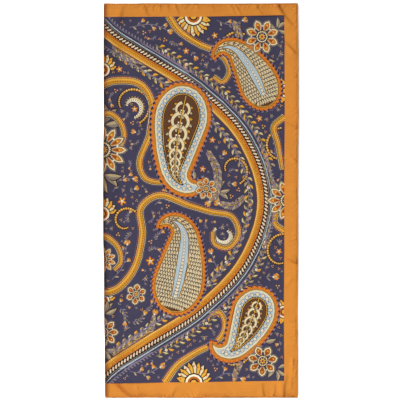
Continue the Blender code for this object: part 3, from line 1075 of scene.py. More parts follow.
# ---------------- the print's triangles
def partition(ink):
    """Triangles between all the shapes' lines, each with the ink of the shape on top there."""
    out = delaunay_2d_cdt([Vector(p) for p in ink.points], [], ink.faces, 0, CDT_NEAR, True)
    verts = np.array([tuple(v) for v in out[0]])
    faces = np.array(out[2])
    corners, starts = np.array(ink.points), [shape[0] for shape in ink.faces]
    low, high = np.minimum.reduceat(corners, starts), np.maximum.reduceat(corners, starts)
    face = np.repeat(np.arange(len(faces)), [len(inside) for inside in out[5]])
    shape = np.array([index for inside in out[5] for index in inside])
    # Now and then Blender lets a tangled shape run out over the rest, so each keeps to its own bounds.
    middle = verts[faces].mean(1)[face]
    within = ((middle > low[shape]) & (middle < high[shape])).all(1)
    face, shape = face[within], shape[within]
    # A shape shows only where its mask, its mask's mask and so on lie under it.
    key = face * len(starts) + shape
    sorted_key = np.sort(key)
    masks, shown = np.array(ink.masks), np.ones(len(key), bool)
    mask = masks[shape]
    while (mask >= 0).any():
        wanted = face * len(starts) + mask
        found = sorted_key[np.clip(np.searchsorted(sorted_key, wanted), 0, len(key) - 1)] == wanted
        shown &= found | (mask < 0)
        mask = np.where(mask >= 0, masks[mask], -1)
    order = np.flatnonzero(shown)[np.argsort(shape[shown], kind="stable")]
    inks = np.full(len(faces), -1)
    inks[face[order]] = np.array(ink.inks)[shape[order]]
    return verts, faces, inks


def edges_of(face):
    return zip(face, (*face[1:], face[0]))


def outlines(verts, faces, inks, keep=0.2):
    """The lines between unlike inks, each with its left and right ink, and the points that bend them."""
    inked = {edge: ink for face, ink in zip(faces.tolist(), inks.tolist()) for edge in edges_of(face)}
    links, sides = {}, {}
    for (start, end), left in inked.items():
        right = inked.get((end, start), -1)
        if left != right and (start < end or (end, start) not in inked):
            links.setdefault(start, set()).add(end)
            links.setdefault(end, set()).add(start)
            sides[start, end], sides[end, start] = (left, right), (right, left)
    for vert in sorted(links):
        if len(links[vert]) != 2:
            continue
        before, after = sorted(links[vert])
        run, off = verts[after] - verts[before], verts[vert] - verts[before]
        span = math.hypot(*run)
        if after in links[before] or span < 1e-6 or abs(crossed(run, off)) / span > keep:
            continue
        if not 0 < run @ off < span * span:
            continue
        pair = sides[before, vert]
        for end, other in ((before, after), (after, before)):
            links[end].discard(vert)
            links[end].add(other)
        sides[before, after], sides[after, before] = pair, pair[::-1]
        links[vert] = set()
    used = [vert for vert in sorted(links) if links[vert]]
    number = {vert: k for k, vert in enumerate(used)}
    edges = [(number[s], number[e], *sides[s, e]) for s in used for e in links[s] if s < e]
    kept = verts[used]
    # Points on the cut's edge go exactly onto it, so that the two halves meet.
    for axis, line in ((0, 0.0), (0, SILK_SIDE), (1, SILK_FOOT), (1, SILK_TOP)):
        kept[abs(kept[:, axis] - line) < 0.03, axis] = line
    return kept, edges


def repartition(points, edges, extra):
    """Triangles between those lines and some extra points, each with its ink."""
    every = np.vstack((points, extra))
    lines = [edge[:2] for edge in edges]
    out = delaunay_2d_cdt([Vector(p) for p in every], lines, [], 0, CDT_NEAR, True)
    verts = np.array([tuple(v) for v in out[0]])
    side = {}
    for (start, end), origins in zip(out[1], out[4]):
        for origin in origins:
            if origin < len(edges):
                first, last, left, right = edges[origin]
                if (verts[end] - verts[start]) @ (every[last] - every[first]) < 0:
                    left, right = right, left
                side[start, end], side[end, start] = left, right
    faces = out[2]
    inks, beside_edge = [None] * len(faces), {}
    for k, face in enumerate(faces):
        for edge in edges_of(face):
            beside_edge[edge] = k
            inks[k] = side.get(edge, inks[k])
    # From the triangles beside a line, each ink spreads over the others up to the next line.
    front = [k for k, ink in enumerate(inks) if ink is not None]
    for k in front:
        for start, end in edges_of(faces[k]):
            near = beside_edge.get((end, start))
            if (start, end) not in side and near is not None and inks[near] is None:
                inks[near] = inks[k]
                front.append(near)
    inks = np.array(inks)
    return verts, np.array(faces)[inks >= 0], inks[inks >= 0]


# ---------------- the form of the folded silk
def smooth(t):
    """0 to 1 with no slope at either end."""
    t = np.clip(t, 0, 1)
    return t * t * (3 - 2 * t)


def between(rows, at, column):
    """A table's column at places between its rows, with soft steps."""
    table = np.array(rows)
    low = np.clip(np.searchsorted(table[:, 0], at) - 1, 0, len(table) - 2)
    share = smooth((at - table[low, 0]) / (table[low + 1, 0] - table[low, 0]))
    return table[low, column] + (table[low + 1, column] - table[low, column]) * share


def fold_x(y):
    """The outer edge of the fold."""
    return -WIDTH / 2 + between(OUTLINE, y / LENGTH + 0.5, 1)


def side_x(y):
    """The outer edge of the upper side hem."""
    return WIDTH / 2 - between(OUTLINE, y / LENGTH + 0.5, 2)


def top_y(x):
    return LENGTH / 2 - between(HEMLINE, x / WIDTH + 0.5, 1)


def foot_y(x):
    return -LENGTH / 2 + between(HEMLINE, x / WIDTH + 0.5, 2)


def back_edge(edge_y, x):
    """A top or foot edge of the under layer: straight from the fold to the side hem."""
    from_y, to_y = edge_y(-WIDTH / 2), edge_y(WIDTH / 2)
    return from_y + (to_y - from_y) * (x / WIDTH + 0.5)


def fold_radius(along):
    """The fold's radius swells and settles along the length, and not at its two ends."""
    share = along / LENGTH + 0.5
    puff = np.sin(math.pi * FOLD_PUFFS * share) ** 2
    return FOLD_RADIUS + FOLD_SWELL * puff * smooth(np.minimum(share, 1 - share) / FOLD_QUIET)


def ridges(rows, x, y):
    """The height of a table's creases, gentle towards the light and steep behind, and the shade painted into
    the dye beside them.
    """
    height, shade = np.zeros_like(x), np.zeros_like(x)
    for from_x, from_y, to_x, to_y, half_width, rise, bend in rows:
        run_x, run_y = to_x - from_x, to_y - from_y
        length = math.hypot(run_x, run_y)
        at_x, at_y = x + WIDTH / 2 - from_x, y + LENGTH / 2 - from_y
        along = (at_x * run_x + at_y * run_y) / length
        share = np.clip(along / length, 0, 1)
        off = (run_x * at_y - run_y * at_x) / length - bend * np.sin(math.pi * share)
        facing = (-run_y * LEE[0] + run_x * LEE[1]) / length
        lee = off if facing > 0 else -off
        past = np.maximum(np.maximum(-along, along - length), 0)
        ends = np.exp(-((past / (1.6 * half_width)) ** 2)) * (1 - 0.6 * share)
        spread = half_width * np.where(lee > 0, 0.8, 2.2)
        height += CREASE_RISE * rise * ends * np.exp(-((lee / spread) ** 2))
        if half_width < 10:
            dark = CREASE_SHADE * rise * (1.2 - abs(facing))
            shade += dark * ends * np.exp(-(((lee - 0.5 * half_width) / (0.75 * half_width)) ** 2))
    return height, shade


def hem_wave(along, inward):
    """The hem's slow waves, uneven in pitch, dying away inwards."""
    turn = 2 * math.pi * along
    wave = np.sin(turn / WAVE_PITCH + WAVE_UNEVEN * np.sin(turn / WAVE_DRIFT))
    return WAVE_RISE * (1 + wave) * np.exp(-inward / WAVE_REACH)


def pucker(along, inward):
    """Small ripples square to a hem, pulled up by its stitches, uneven in pitch and height."""
    turn = 2 * math.pi * along
    ripple = np.sin(turn / PUCKER_PITCH + 1.7 * np.sin(turn / 67) + 1.1 * np.sin(turn / 29) + inward / 3)
    ripple += 0.5 * np.sin(turn / (0.43 * PUCKER_PITCH) + 2.0 * np.sin(turn / 41) + inward / 2)
    strength = 0.55 + 0.45 * np.sin(turn / 143 + 2.0 * np.sin(turn / 311))
    return PUCKER_RISE * (1.2 + ripple) * strength * np.exp(-inward / PUCKER_REACH)


def swell(x, y):
    total = np.zeros_like(x)
    for wave_x, wave_y, start, rise in SWELLS:
        total += rise * np.sin(2 * math.pi * (x / wave_x + y / wave_y) + start)
    return total


def from_edges(x, y):
    """How far a place lies inside the side, top and foot edges of the silk."""
    from_side = np.maximum(side_x(y) - EDGE_IN - x, 0)
    from_top = np.maximum(top_y(x) - EDGE_IN - y, 0)
    from_foot = np.maximum(y - foot_y(x) - EDGE_IN, 0)
    return from_side, from_top, from_foot


def relief(x, y, rows, slow):
    """Creases, puckers and waves over a layer's plain form, and nothing at the hems."""
    from_side, from_top, from_foot = from_edges(x, y)
    from_ends = np.minimum(from_top, from_foot)
    inward = np.minimum(from_side, from_ends)
    height = ridges(rows, x, y)[0]
    height += slow * (hem_wave(x, from_ends) + hem_wave(y, from_side))
    height += pucker(x + y * 0.1, from_ends) + pucker(y + 31, from_side)
    return height * smooth(inward / EDGE_STIFF)


def painted_shade(x, y, rows):
    """How much shade is painted into the silk's dye along its creases and beside its hems, from 0 to 1."""
    from_side, from_top, from_foot = from_edges(x, y)
    from_ends = np.minimum(from_top, from_foot)
    inward = np.minimum(from_side, from_ends)
    along = np.where(from_side < from_ends, y, x)
    turn = 2 * math.pi * (along - 0.9 * inward) / PULL_PITCH
    pulled = np.sin(turn + 2.0 * np.sin(along / 19) + 0.8 * np.sin(along / 7.3))
    patch = smooth(0.4 + 0.9 * np.sin(along / 37 + 2 * np.sin(along / 89)))
    patch = patch * np.where(from_foot <= inward, 1.0, np.where(from_top <= inward, 0.4, 0.25))
    dark = HEM_SHADE * (0.75 + 0.75 * patch) * np.exp(-inward / 8)
    reach = 3.8 + 1.6 * np.sin(along / 5.3 + 1.0)
    patch = patch * (0.6 + 0.4 * np.sin(along / 8))
    dark += PULL_SHADE * patch * np.maximum(pulled, 0) * np.exp(-(((inward - 4) / reach) ** 2))
    return np.clip(dark + ridges(rows, x, y)[1], 0, 0.6)


def upper_height(x, y, along, tuck):
    """Height of the upper layer's middle: held up by the fold and the hems, lying elsewhere."""
    lying = 1.0
    for inward in from_edges(x, y):
        lying = lying * (1 - np.exp(-((inward / EDGE_FALL) ** EDGE_HOLD)))
    height = HEM_HIGH + (FRONT_REST - HEM_HIGH) * lying
    height += relief(x, y, CREASES, 1.0) + swell(x, y) * lying
    fold_top = 2 * fold_radius(along) + CLOTH / 2 - tuck
    from_fold = x - fold_x(along) - FOLD_REACH
    share = smooth(from_fold / FOLD_FALL)
    ripple = RIPPLE_RISE * np.sin(2 * math.pi * along / RIPPLE_PITCH + 2.2 * np.sin(along / 19))
    ripple *= 4 * share * (1 - share) * smooth(from_edges(x, y)[1] / 20)
    return height + (fold_top - height) * (1 - share) + ripple


def on_silk(u, t, upper, depth):
    """Places on the folded silk, from the cut, at a depth under its printed face."""
    along = (t / CUT - 0.5) * LENGTH
    ends = np.minimum(t, CUT - t) - EDGE_IN
    tuck = TUCK * np.exp(-((np.maximum(ends, 0) / TUCK_REACH) ** 1.5))
    # The fold is a flat roll, half an ellipse, with the cut's fold line at its outermost place.
    rise = fold_radius(along) + CLOTH / 2
    turn_x, turn_z = fold_x(along) + FOLD_REACH, rise
    turns = np.linspace(-0.2, math.pi / 2, FOLD_STEPS)
    steps = np.hypot(FOLD_REACH * np.diff(np.cos(turns)), (FOLD_RADIUS + 0.8) * np.diff(np.sin(turns)))
    lengths = np.concatenate(([0], np.cumsum(steps)))
    lengths -= np.interp(0, turns, lengths)
    quarter = lengths[-1]
    angle = np.interp(u, lengths, turns)
    side = 1 if upper else -1
    round_x = turn_x - (FOLD_REACH - depth - tuck) * np.cos(angle)
    round_z = turn_z + side * (rise - depth - tuck) * np.sin(angle)
    wall = CLOTH / 2 - depth
    far_x = side_x(along) - EDGE_IN - (0 if upper else BACK_HEM_IN)
    share = (u - quarter) / (SILK_SIDE - quarter)
    x = np.where(share < 0, round_x, turn_x + (far_x - turn_x) * share)
    low, high = back_edge(foot_y, x), back_edge(top_y, x)
    if upper:
        settled = smooth((x - turn_x) / FOLD_SETTLE)
        low = low + (foot_y(x) - low) * settled
        high = high + (top_y(x) - high) * settled
    y = low + EDGE_IN + (high - low - 2 * EDGE_IN) * (t - EDGE_IN) / (CUT - 2 * EDGE_IN)
    if upper:
        flat_z = upper_height(x, y, along, tuck) + wall
    else:
        sides = np.maximum(SILK_SIDE - u, 0)
        side_tuck = TUCK * np.exp(-((sides / TUCK_REACH) ** 1.5))
        settled = smooth((x - turn_x) / 10)
        flat_z = np.maximum(tuck, side_tuck * settled) + relief(x, y, BACK_CREASES, 0.25) * settled + depth
    return np.stack((x, y, np.where(share < 0, round_z, flat_z)), -1)


def silk_normals(u, t, upper, step=0.25):
    """Unit normals of the printed face."""
    along_u = on_silk(u + step, t, upper, 0.0) - on_silk(u - step, t, upper, 0.0)
    along_t = on_silk(u, t + step, upper, 0.0) - on_silk(u, t - step, upper, 0.0)
    normal = np.cross(along_u, along_t) if upper else np.cross(along_t, along_u)
    return normal / np.linalg.norm(normal, axis=-1, keepdims=True)


# ---------------- the silk's meshes
def add_piece(name, mesh, material):
    """A finished mesh as an object of the scene."""
    mesh.materials.append(material)
    piece = bpy.data.objects.new(name, mesh)
    bpy.context.scene.collection.objects.link(piece)
    return piece


def grid_points(*grids):
    """Places on the cut, in grids by their pitch and how far in from the hems they begin and end."""
    found = []
    for pitch, low, high in grids:
        across, up = np.arange(7, SILK_SIDE - 1, pitch), np.arange(SILK_FOOT + 1.8, SILK_TOP - 1, pitch)
        u, t = np.meshgrid(across, up)
        inward = np.minimum(np.minimum(SILK_SIDE - u, t - SILK_FOOT), SILK_TOP - t)
        kept = (inward >= low) & (inward < high)
        found.append(np.column_stack((u[kept], t[kept])))
    return found


def drape_points():
    """Points that the silk bends at: a wide grid, closer in the borders, closest at the fold."""
    found = grid_points((9.0, BORDER, HALF), (2.7, 9, BORDER), (1.7, 0, 9))
    runs = [(line, np.arange(SILK_FOOT + 1.5, SILK_TOP, 5.0)) for line in FOLD_LINES]
    runs += [(line, np.linspace(SILK_FOOT, SILK_TOP, 300)) for line in (0, SILK_SIDE)]
    found += [np.column_stack((np.full(len(t), line), t)) for line, t in runs]
    u = np.linspace(0, SILK_SIDE, 160)
    found += [np.column_stack((u, np.full(len(u), line))) for line in (SILK_FOOT, SILK_TOP)]
    return np.vstack(found)


def edge_loop(points):
    """The numbers of the points on the cut's edge, in order round it."""
    u, t = points.T
    loop = []
    for across, line, along in ((t, SILK_FOOT, u), (u, SILK_SIDE, t), (t, SILK_TOP, -u), (u, 0, -t)):
        run = np.flatnonzero(abs(across - line) < 0.01)
        loop.extend(run[np.argsort(along[run])][:-1])
    return np.array(loop)


def inner_face(outline):
    """A plain face inside an outline: its points, its triangles and the dye of each."""
    grid = np.vstack((outline, *grid_points((11.0, BORDER, HALF), (4.0, 0, BORDER))))
    made = delaunay_2d_cdt([Vector(p) for p in grid], [], [], 0, 1e-5, True)
    points, faces = np.array([tuple(p) for p in made[0]]), np.array(made[2])
    # The silk's wrong side is paler, and only its edge ever shows.
    u, t = points[faces].mean(1).T
    side, foot, top = WRONG_SIDE_PRINT
    printed = (u < side) & (t > foot) & (t < top)
    dyes = np.where(printed[:, None], linear(WRONG_SIDE_INK), linear(WRONG_BORDER_INK))
    return points, faces[:, ::-1], dyes


def printed_dyes_and_shade(points, places, faces, inks, rows):
    """The dye of each triangle's corners, with shade painted in at the fold's edge, along the creases and
    beside the hems.
    """
    palette = np.array([linear(INKS[name]) for name in INK_NAMES])
    dyes = np.repeat(palette[inks], 3, axis=0)
    dark = painted_shade(*places[:, :2].T, rows)[faces.ravel(), None]
    # Shade painted into the dye at the fold's edge, where the silk turns down over the fold.
    painted_fold_shade = FOLD_SHADE * np.exp(-((points[:, 0] / FOLD_SHADE_REACH) ** 2.5))[faces.ravel(), None]
    return dyes * np.clip(1 - dark * CREASE_SHADE_TINT, 0, 1) * (1 - painted_fold_shade * FOLD_SHADE_TINT)


def silk_piece(name, upper, points, faces, inks, material):
    """One half of the square: its printed face, a plain inner face and the edge between them."""
    count, loop = len(points), edge_loop(points)
    inner_points, inner_faces, inner_dyes = inner_face(points[loop])
    inner_loop = edge_loop(inner_points) + count
    rim = np.column_stack((loop, inner_loop, np.roll(inner_loop, -1), np.roll(loop, -1)))
    inner_faces = inner_faces + count
    if not upper:
        faces, inner_faces, rim = faces[:, ::-1], inner_faces[:, ::-1], rim[:, ::-1]
    corners = np.concatenate((faces.ravel(), inner_faces.ravel(), rim.ravel()))

    printed = on_silk(*points.T, upper, 0.0)
    # Away from its edges the inner face lies deeper, clear of the creases of the printed face.
    u, t = inner_points.T
    inward = np.minimum(np.minimum(t, CUT - t) - EDGE_IN, SILK_SIDE - u)
    deeper = (INNER_DEPTH if upper else INNER_DEPTH_UNDER) - SILK
    inner = on_silk(u, t, upper, SILK + deeper * smooth(inward / 3) * smooth((u - 2) / 8))
    places = np.vstack((printed, inner)) * MM
    mesh = bpy.data.meshes.new(name)
    mesh.from_pydata(places, [], [*faces.tolist(), *inner_faces.tolist(), *rim.tolist()])

    face_dyes_and_shade = printed_dyes_and_shade(points, printed, faces, inks, CREASES if upper else BACK_CREASES)
    rim_dyes = np.tile(linear(EDGE_INK), (rim.size, 1))
    dyes = np.vstack((face_dyes_and_shade, np.repeat(inner_dyes, 3, axis=0), rim_dyes))
    # Each corner's colour: the print's dye times the painted shade.
    dye = mesh.color_attributes.new("DyeAndPaintedShade", "FLOAT_COLOR", "CORNER")
    dye.data.foreach_set("color", np.column_stack((dyes, np.ones(len(dyes)))).ravel())

    # The cut laid flat: the printed face over nearly all of the map, the rest down its side.
    face_map = points / (HALF, CUT) * (0.955, 0.992) + 0.004
    inner_map = inner_points / (HALF, CUT) * (0.03, 0.992) + (0.965, 0.004)
    flat = np.vstack((face_map, inner_map))
    chart = mesh.uv_layers.new(name="OFBake")
    chart.data.foreach_set("uv", flat[corners].ravel())

    facing = np.vstack((silk_normals(*points.T, upper), -silk_normals(*inner_points.T, upper)))[corners]
    edge = places[rim]
    outwards = np.cross(edge[:, 1] - edge[:, 0], edge[:, 2] - edge[:, 0])
    outwards /= np.maximum(np.linalg.norm(outwards, axis=1, keepdims=True), 1e-12)
    facing[-rim.size :] = np.repeat(outwards, 4, axis=0)
    mesh.shade_smooth()
    mesh.normals_split_custom_set(facing.tolist())
    mesh.validate()
    return add_piece(name, mesh, material)


# ---------------- the rolled hems
def uneven(run, seed):
    """The places of a hand's stitches along a run, a little uneven."""
    rng = random.Random(seed)
    at, places = FIRST_STITCH, []
    while at < run - FIRST_STITCH:
        places.append(at)
        at += STITCH_PITCH * rng.uniform(0.8, 1.22)
    return np.array(places)


def dimples(run, stitches):
    """How deep each place of a run is pulled in by the nearest stitch, from 0 to 1."""
    nearest = np.abs(run[:, None] - stitches[None]).min(1)
    return np.exp(-((nearest / DIMPLE_REACH) ** 2))


def end_hem(edge_y, inward):
    """Middles, ways across and ways up of the top or foot hem, round the fold and back under."""
    corner_y = float(edge_y(WIDTH / 2))
    far = float(side_x(corner_y)) - 0.2
    turn_z, turn_radius = (HEM_LOW + HEM_HIGH) / 2, (HEM_HIGH - HEM_LOW) / 2
    turn_x = float(fold_x(float(edge_y(-WIDTH / 2)))) + turn_radius + HEM_HEIGHT / 2
    middle = inward * HEM_WIDTH / 2
    steps = int((far - turn_x) / HEM_STEP)
    x = np.linspace(far, turn_x, steps)
    settled = smooth((x - turn_x) / FOLD_SETTLE)
    y = back_edge(edge_y, x) * (1 - settled) + edge_y(x) * settled + middle
    upper = np.column_stack((x, y, np.full(steps, HEM_HIGH)))
    angle = np.linspace(0, math.pi, 11)[1:-1]
    x = turn_x - turn_radius * np.sin(angle)
    z = turn_z + turn_radius * np.cos(angle)
    bend = np.column_stack((x, back_edge(edge_y, x) + middle, z))
    x = np.linspace(turn_x, far - BACK_HEM_IN, steps)
    under = np.column_stack((x, back_edge(edge_y, x) + middle, np.full(steps, HEM_LOW)))
    middles = np.vstack((upper, bend, under))
    ups = np.zeros_like(middles)
    ups[:steps, 2] = 1
    ups[steps : steps + 9] = np.column_stack((-np.sin(angle), np.zeros(9), np.cos(angle)))
    ups[steps + 9 :, 2] = -1
    across = np.tile((0.0, -inward, 0.0), (len(middles), 1))
    return middles, across, ups


def side_hem(inside, height, up):
    """The same of a side hem, from inside the foot hem to inside the top hem."""
    low, high = float(foot_y(WIDTH / 2)) + 1.4, float(top_y(WIDTH / 2)) - 1.4
    y = np.linspace(low, high, int((high - low) / HEM_STEP))
    x = side_x(y) - inside - HEM_WIDTH / 2
    middles = np.column_stack((x, y, np.full(len(y), height)))
    across = np.tile((1.0, 0.0, 0.0), (len(y), 1))
    ups = np.tile((0.0, 0.0, float(up)), (len(y), 1))
    return middles, across, ups


def hem_painted_shade(middles, ups, run, turns, start, shaded):
    """The painted light and shade of each place of a roll: lightest towards the silk, darkest on its outer
    side, and in the shaded stretches darkest over its crown instead.
    """
    rolled = 0.45 * np.sin(run / 13 + 2 * np.sin(run / 41 + start)) + 0.25 * np.sin(run / 5.3 + start)
    facing = np.cos(turns + rolled[:, None])
    tones = np.interp(facing, (-1, -0.7, 0.2, 0.7, 1), (0.74, 0.92, 0.74, 0.42, 0.28))
    for from_x, to_x in shaded:
        share = smooth((middles[:, 0] - from_x) / 9) * smooth((to_x - middles[:, 0]) / 9) * (ups[:, 2] > 0.5)
        in_shade = np.interp(np.cos(turns), (-1, 0.1, 0.5, 0.8), (0.5, 0.24, 0.5, 0.95))
        tones += (in_shade - tones) * share[:, None]
    return tones


def roll(name, path, seed, material, shaded):
    """A hand-rolled hem along a path: an uneven soft tube, pulled in by its stitches."""
    middles, across, ups = path
    run = np.concatenate(([0], np.cumsum(np.linalg.norm(np.diff(middles, axis=0), axis=1))))
    stitches = uneven(run[-1], seed)
    turns = np.linspace(0, 2 * math.pi, HEM_SIDES + 1)
    turn, along = np.meshgrid(turns, run)
    start = seed * 1.7
    twist = 0.030 * np.sin(2 * math.pi * along / 3.7 + 2 * turn + start)
    lumps = 0.045 * np.sin(along / 4.1 + 2.0 * np.sin(along / 17 + start)) + 0.03 * np.sin(along / 11 + turn)
    pulled = dimples(run, stitches)[:, None]
    size = 1 + twist + lumps - 0.20 * pulled * np.clip(-np.cos(turn), 0, 1) - 0.05 * pulled
    size = np.minimum(size, 1.06)
    ends = np.minimum(run, run[-1] - run)
    size *= np.sqrt(np.clip(1 - (1 - np.clip(ends / HEM_END, 0, 1)) ** 2, 0.02, 1))[:, None]
    sideways = (np.cos(turn) * size * HEM_WIDTH / 2)[..., None] * across[:, None]
    upwards = (np.sin(turn) * size * HEM_HEIGHT / 2)[..., None] * ups[:, None]
    places = middles[:, None] + sideways + upwards
    places[..., 2] = np.maximum(places[..., 2], 0)

    # The roll's painted light and shade, which the border's dye is multiplied by below.
    tones = hem_painted_shade(middles, ups, run, turns, start, shaded)
    border = linear(INKS["border"])
    made = bmesh.new()
    dye = made.verts.layers.float_color.new("DyeAndPaintedShade")
    rows = len(middles) - 1
    bmesh.ops.create_grid(made, x_segments=rows, y_segments=HEM_SIDES, size=0.5)
    for vert in made.verts:
        row = round((vert.co.x + 0.5) * rows)
        column = round((vert.co.y + 0.5) * HEM_SIDES) % HEM_SIDES
        vert.co = places[row, column] * MM
        vert[dye] = (*(tone * tones[row, column] for tone in border), 1)
    bmesh.ops.remove_doubles(made, verts=made.verts[:], dist=1e-7)
    bmesh.ops.holes_fill(made, edges=[edge for edge in made.edges if edge.is_boundary])
    bmesh.ops.recalc_face_normals(made, faces=made.faces[:])
    mesh = bpy.data.meshes.new(name)
    made.to_mesh(mesh)
    made.free()
    mesh.shade_smooth()
    return add_piece(name, mesh, material), [places_at(values, run, stitches) for values in path]


def sew(name, rolls, material):
    """The hems' stitches: short slanted threads from each roll down to the silk, as one mesh."""
    thread = bmesh.new()
    bmesh.ops.create_uvsphere(thread, u_segments=6, v_segments=5, radius=0.5)
    shape = np.array([vert.co[:] for vert in thread.verts])
    # Blender makes the sphere's faces in another order each time.
    faces = sorted([vert.index for vert in face.verts] for face in thread.faces)
    thread.free()
    # The sphere's poles lie along the thread, which bows a little over the roll's shoulder.
    bar = shape * (STITCH_WIDTH, STITCH_WIDTH, STITCH_LENGTH)
    bar[:, 1] -= 0.9 * (bar[:, 2] / STITCH_LENGTH) ** 2
    points, polygons = [], []
    for middles, across, ups in rolls:
        for middle, out, up in zip(middles, across, ups):
            along = np.cross(up, out)
            lean = -out * 0.80 - up * 0.52 + along * 0.30
            lean /= np.linalg.norm(lean)
            rise = up - lean * (up @ lean)
            rise /= np.linalg.norm(rise)
            over = np.cross(rise, lean)
            place = middle - out * HEM_WIDTH * 0.45 + up * HEM_HEIGHT * 0.31
            first = len(points)
            points.extend((place + bar @ np.array((over, rise, lean))) * MM)
            polygons.extend([first + k for k in face] for face in faces)
    mesh = bpy.data.meshes.new(name)
    mesh.from_pydata(points, [], polygons)
    mesh.shade_smooth()
    return add_piece(name, mesh, material)


# ---------------- materials
def add_node(tree, kind, output, inputs=None, **settings):
    """Adds a node with its settings, its input values and its links. Returns one of its outputs."""
    node = tree.nodes.new(kind)
    for name, value in settings.items():
        setattr(node, name, value)
    for name, value in (inputs or {}).items():
        if isinstance(value, bpy.types.NodeSocket):
            tree.links.new(value, node.inputs[name])
        else:
            node.inputs[name].default_value = value
    return node.outputs[output]


def spread(tree, value, low, high, to_low, to_high):
    """Stretches a value's range onto another."""
    ends = {"From Min": low, "From Max": high, "To Min": to_low, "To Max": to_high}
    return add_node(tree, "ShaderNodeMapRange", "Result", {"Value": value, **ends})


def silk_material(name, colour, roughness, sheen, twill):
    """Silk: a soft broad sheen, a fine twill and slight unevenness of dye and gloss.

    colour is a plain colour, or None for the print's dyes and their painted shade, which the mesh carries.
    """
    material = bpy.data.materials.new(name)
    material.use_nodes = True
    tree = material.node_tree
    shader = tree.nodes["Principled BSDF"]
    place = add_node(tree, "ShaderNodeTexCoord", "Object")
    noise = {"Vector": place, "Scale": 26.0, "Detail": 4.0, "Roughness": 0.7}
    clouds = add_node(tree, "ShaderNodeTexNoise", "Fac", noise)
    # Real twill lines are 0.2 mm apart. They are drawn at 0.7 mm, as the least that a close view shows.
    slanted = add_node(
        tree, "ShaderNodeMapping", "Vector", {"Vector": place, "Rotation": (0, 0, math.radians(62))}
    )
    ribs = {"Vector": slanted, "Scale": 450.0, "Distortion": 0.6, "Detail": 1.0}
    lines = add_node(tree, "ShaderNodeTexWave", "Fac", ribs)
    # Threads that are a little thicker run across the silk here and there.
    stretched = add_node(tree, "ShaderNodeMapping", "Vector", {"Vector": place, "Scale": (14, 520, 40)})
    slubs = add_node(tree, "ShaderNodeTexNoise", "Fac", {"Vector": stretched, "Scale": 1.0, "Detail": 2.0})
    tones = {0: spread(tree, clouds, 0.36, 0.64, 0.955, 1.045), 1: spread(tree, slubs, 0.3, 0.7, 0.97, 1.03)}
    tone = add_node(tree, "ShaderNodeMath", "Value", tones, operation="MULTIPLY")
    dye = linear(colour) if colour else add_node(tree, "ShaderNodeVertexColor", "Color", layer_name="DyeAndPaintedShade")
    dyed = add_node(tree, "ShaderNodeVectorMath", "Vector", {0: dye, "Scale": tone}, operation="SCALE")
    gloss = spread(tree, clouds, 0.3, 0.7, roughness - 0.03, roughness + 0.03)
    weave = add_node(
        tree, "ShaderNodeBump", "Normal", {"Height": lines, "Strength": twill, "Distance": 0.00008}
    )
    for value, socket in ((dyed, "Base Color"), (gloss, "Roughness"), (weave, "Normal")):
        tree.links.new(value, shader.inputs[socket])
    shader.inputs["Specular IOR Level"].default_value = 0.10
    shader.inputs["Sheen Weight"].default_value = sheen
    shader.inputs["Sheen Roughness"].default_value = 0.35
    return material


def plain_material(name, colour, roughness, glow):
    material = bpy.data.materials.new(name)
    material.use_nodes = True
    shader = material.node_tree.nodes["Principled BSDF"]
    shader.inputs["Base Color"].default_value = (*linear(colour), 1)
    shader.inputs["Roughness"].default_value = roughness
    shader.inputs["Specular IOR Level"].default_value = 0.1
    shader.inputs["Emission Color"].default_value = (1, 1, 1, 1)
    shader.inputs["Emission Strength"].default_value = glow
    return material


# Silk twill, screen-printed on its right side, with shade painted into its dye at the fold, creases and hems
printed_silk = silk_material("printed silk twill", None, 0.6, 0.03, 0.5)
# The same silk in the border's one dye, rolled, with painted light and shade on the roll
hem_silk = silk_material("orange silk hem", None, 0.6, 0.03, 0.4)
# Filament silk sewing thread
thread = silk_material("orange silk thread", "#d9832c", 0.36, 0.1, 0.2)
# A white paper sweep
paper = plain_material("white paper", "#fdfdfd", 0.9, 0.62)

# ---------------- the scarf
ink = lay_print()
points, edges = outlines(*partition(ink))
points, faces, inks = repartition(points, edges, drape_points())
silk_upper = silk_piece("silk_upper", True, points, faces, inks, printed_silk)
silk_under = silk_piece("silk_under", False, points, faces, inks, printed_silk)

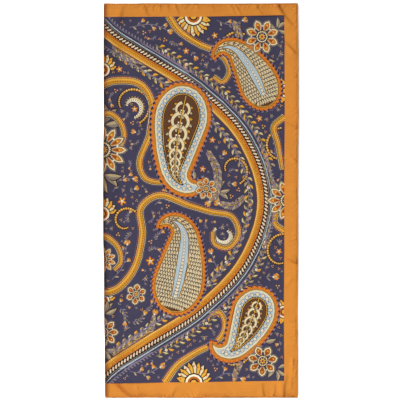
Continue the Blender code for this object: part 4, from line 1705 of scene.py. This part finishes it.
hems = (
    # name, path, the part's node, stretches with painted shade along the roll
    ("roll_top", end_hem(top_y, -1), "hem_top", ()),
    ("roll_foot", end_hem(foot_y, 1), "hem_foot", SHADED_FOOT_STRETCHES),
    ("roll_front_side", side_hem(0, HEM_HIGH, 1), "hem_front_side", ()),
    ("roll_back_side", side_hem(BACK_HEM_IN, HEM_LOW, -1), "hem_back_side", ()),
)
rolls, sewn = [], []
for seed, (name, path, node, shaded) in enumerate(hems, 3):
    hem, places = roll(name, path, seed, hem_silk, shaded)
    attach(hem, "root")
    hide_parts(node)
    rolls.append(hem)
    sewn.append(places)
stitches = sew("hem_stitches", sewn, thread)
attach(stitches, "root")
for piece in (silk_upper, silk_under):
    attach(piece, "root")
    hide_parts("silk_square")
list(rolls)

# ---------------- floor, light and camera
bpy.ops.mesh.primitive_plane_add(size=60, location=(0, 0, -0.0002))
floor = bpy.context.object
floor.name = "floor"
floor.data.materials.append(paper)
floor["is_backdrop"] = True

scene = bpy.context.scene
scene.view_settings.view_transform = "Standard"
world = bpy.data.worlds.new("studio")
world.use_nodes = True
world.node_tree.nodes["Background"].inputs["Color"].default_value = (1.0, 1.0, 1.0, 1)
world.node_tree.nodes["Background"].inputs["Strength"].default_value = 0.25
scene.world = world

LAMPS = (
    # name, place, size, watts
    ("key softbox", (-7.4, 6.6, 4.4), 3.0, 1280),
    ("near softbox", (-0.8, -2.1, 1.4), 1.1, 42),
)
for name, place, size, watts in LAMPS:
    lamp = bpy.data.lights.new(name, "AREA")
    lamp.size = size
    lamp.energy = watts
    holder = bpy.data.objects.new(name, lamp)
    holder.location = place
    holder.rotation_euler = (-Vector(place)).to_track_quat("-Z", "Y").to_euler()
    scene.collection.objects.link(holder)

# Straight above, at the height and place where the scarf fills the picture as in the photo
camera = bpy.data.cameras.new("camera")
camera.lens = 100
viewpoint = bpy.data.objects.new("camera", camera)
viewpoint.location = (-0.00196, 0.00137, 2.536)
scene.collection.objects.link(viewpoint)
scene.camera = viewpoint

bounds_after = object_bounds()
sizes = {"before": bounds_before, "after": bounds_after}
{key: [list(corner) for corner in value] for key, value in sizes.items()}
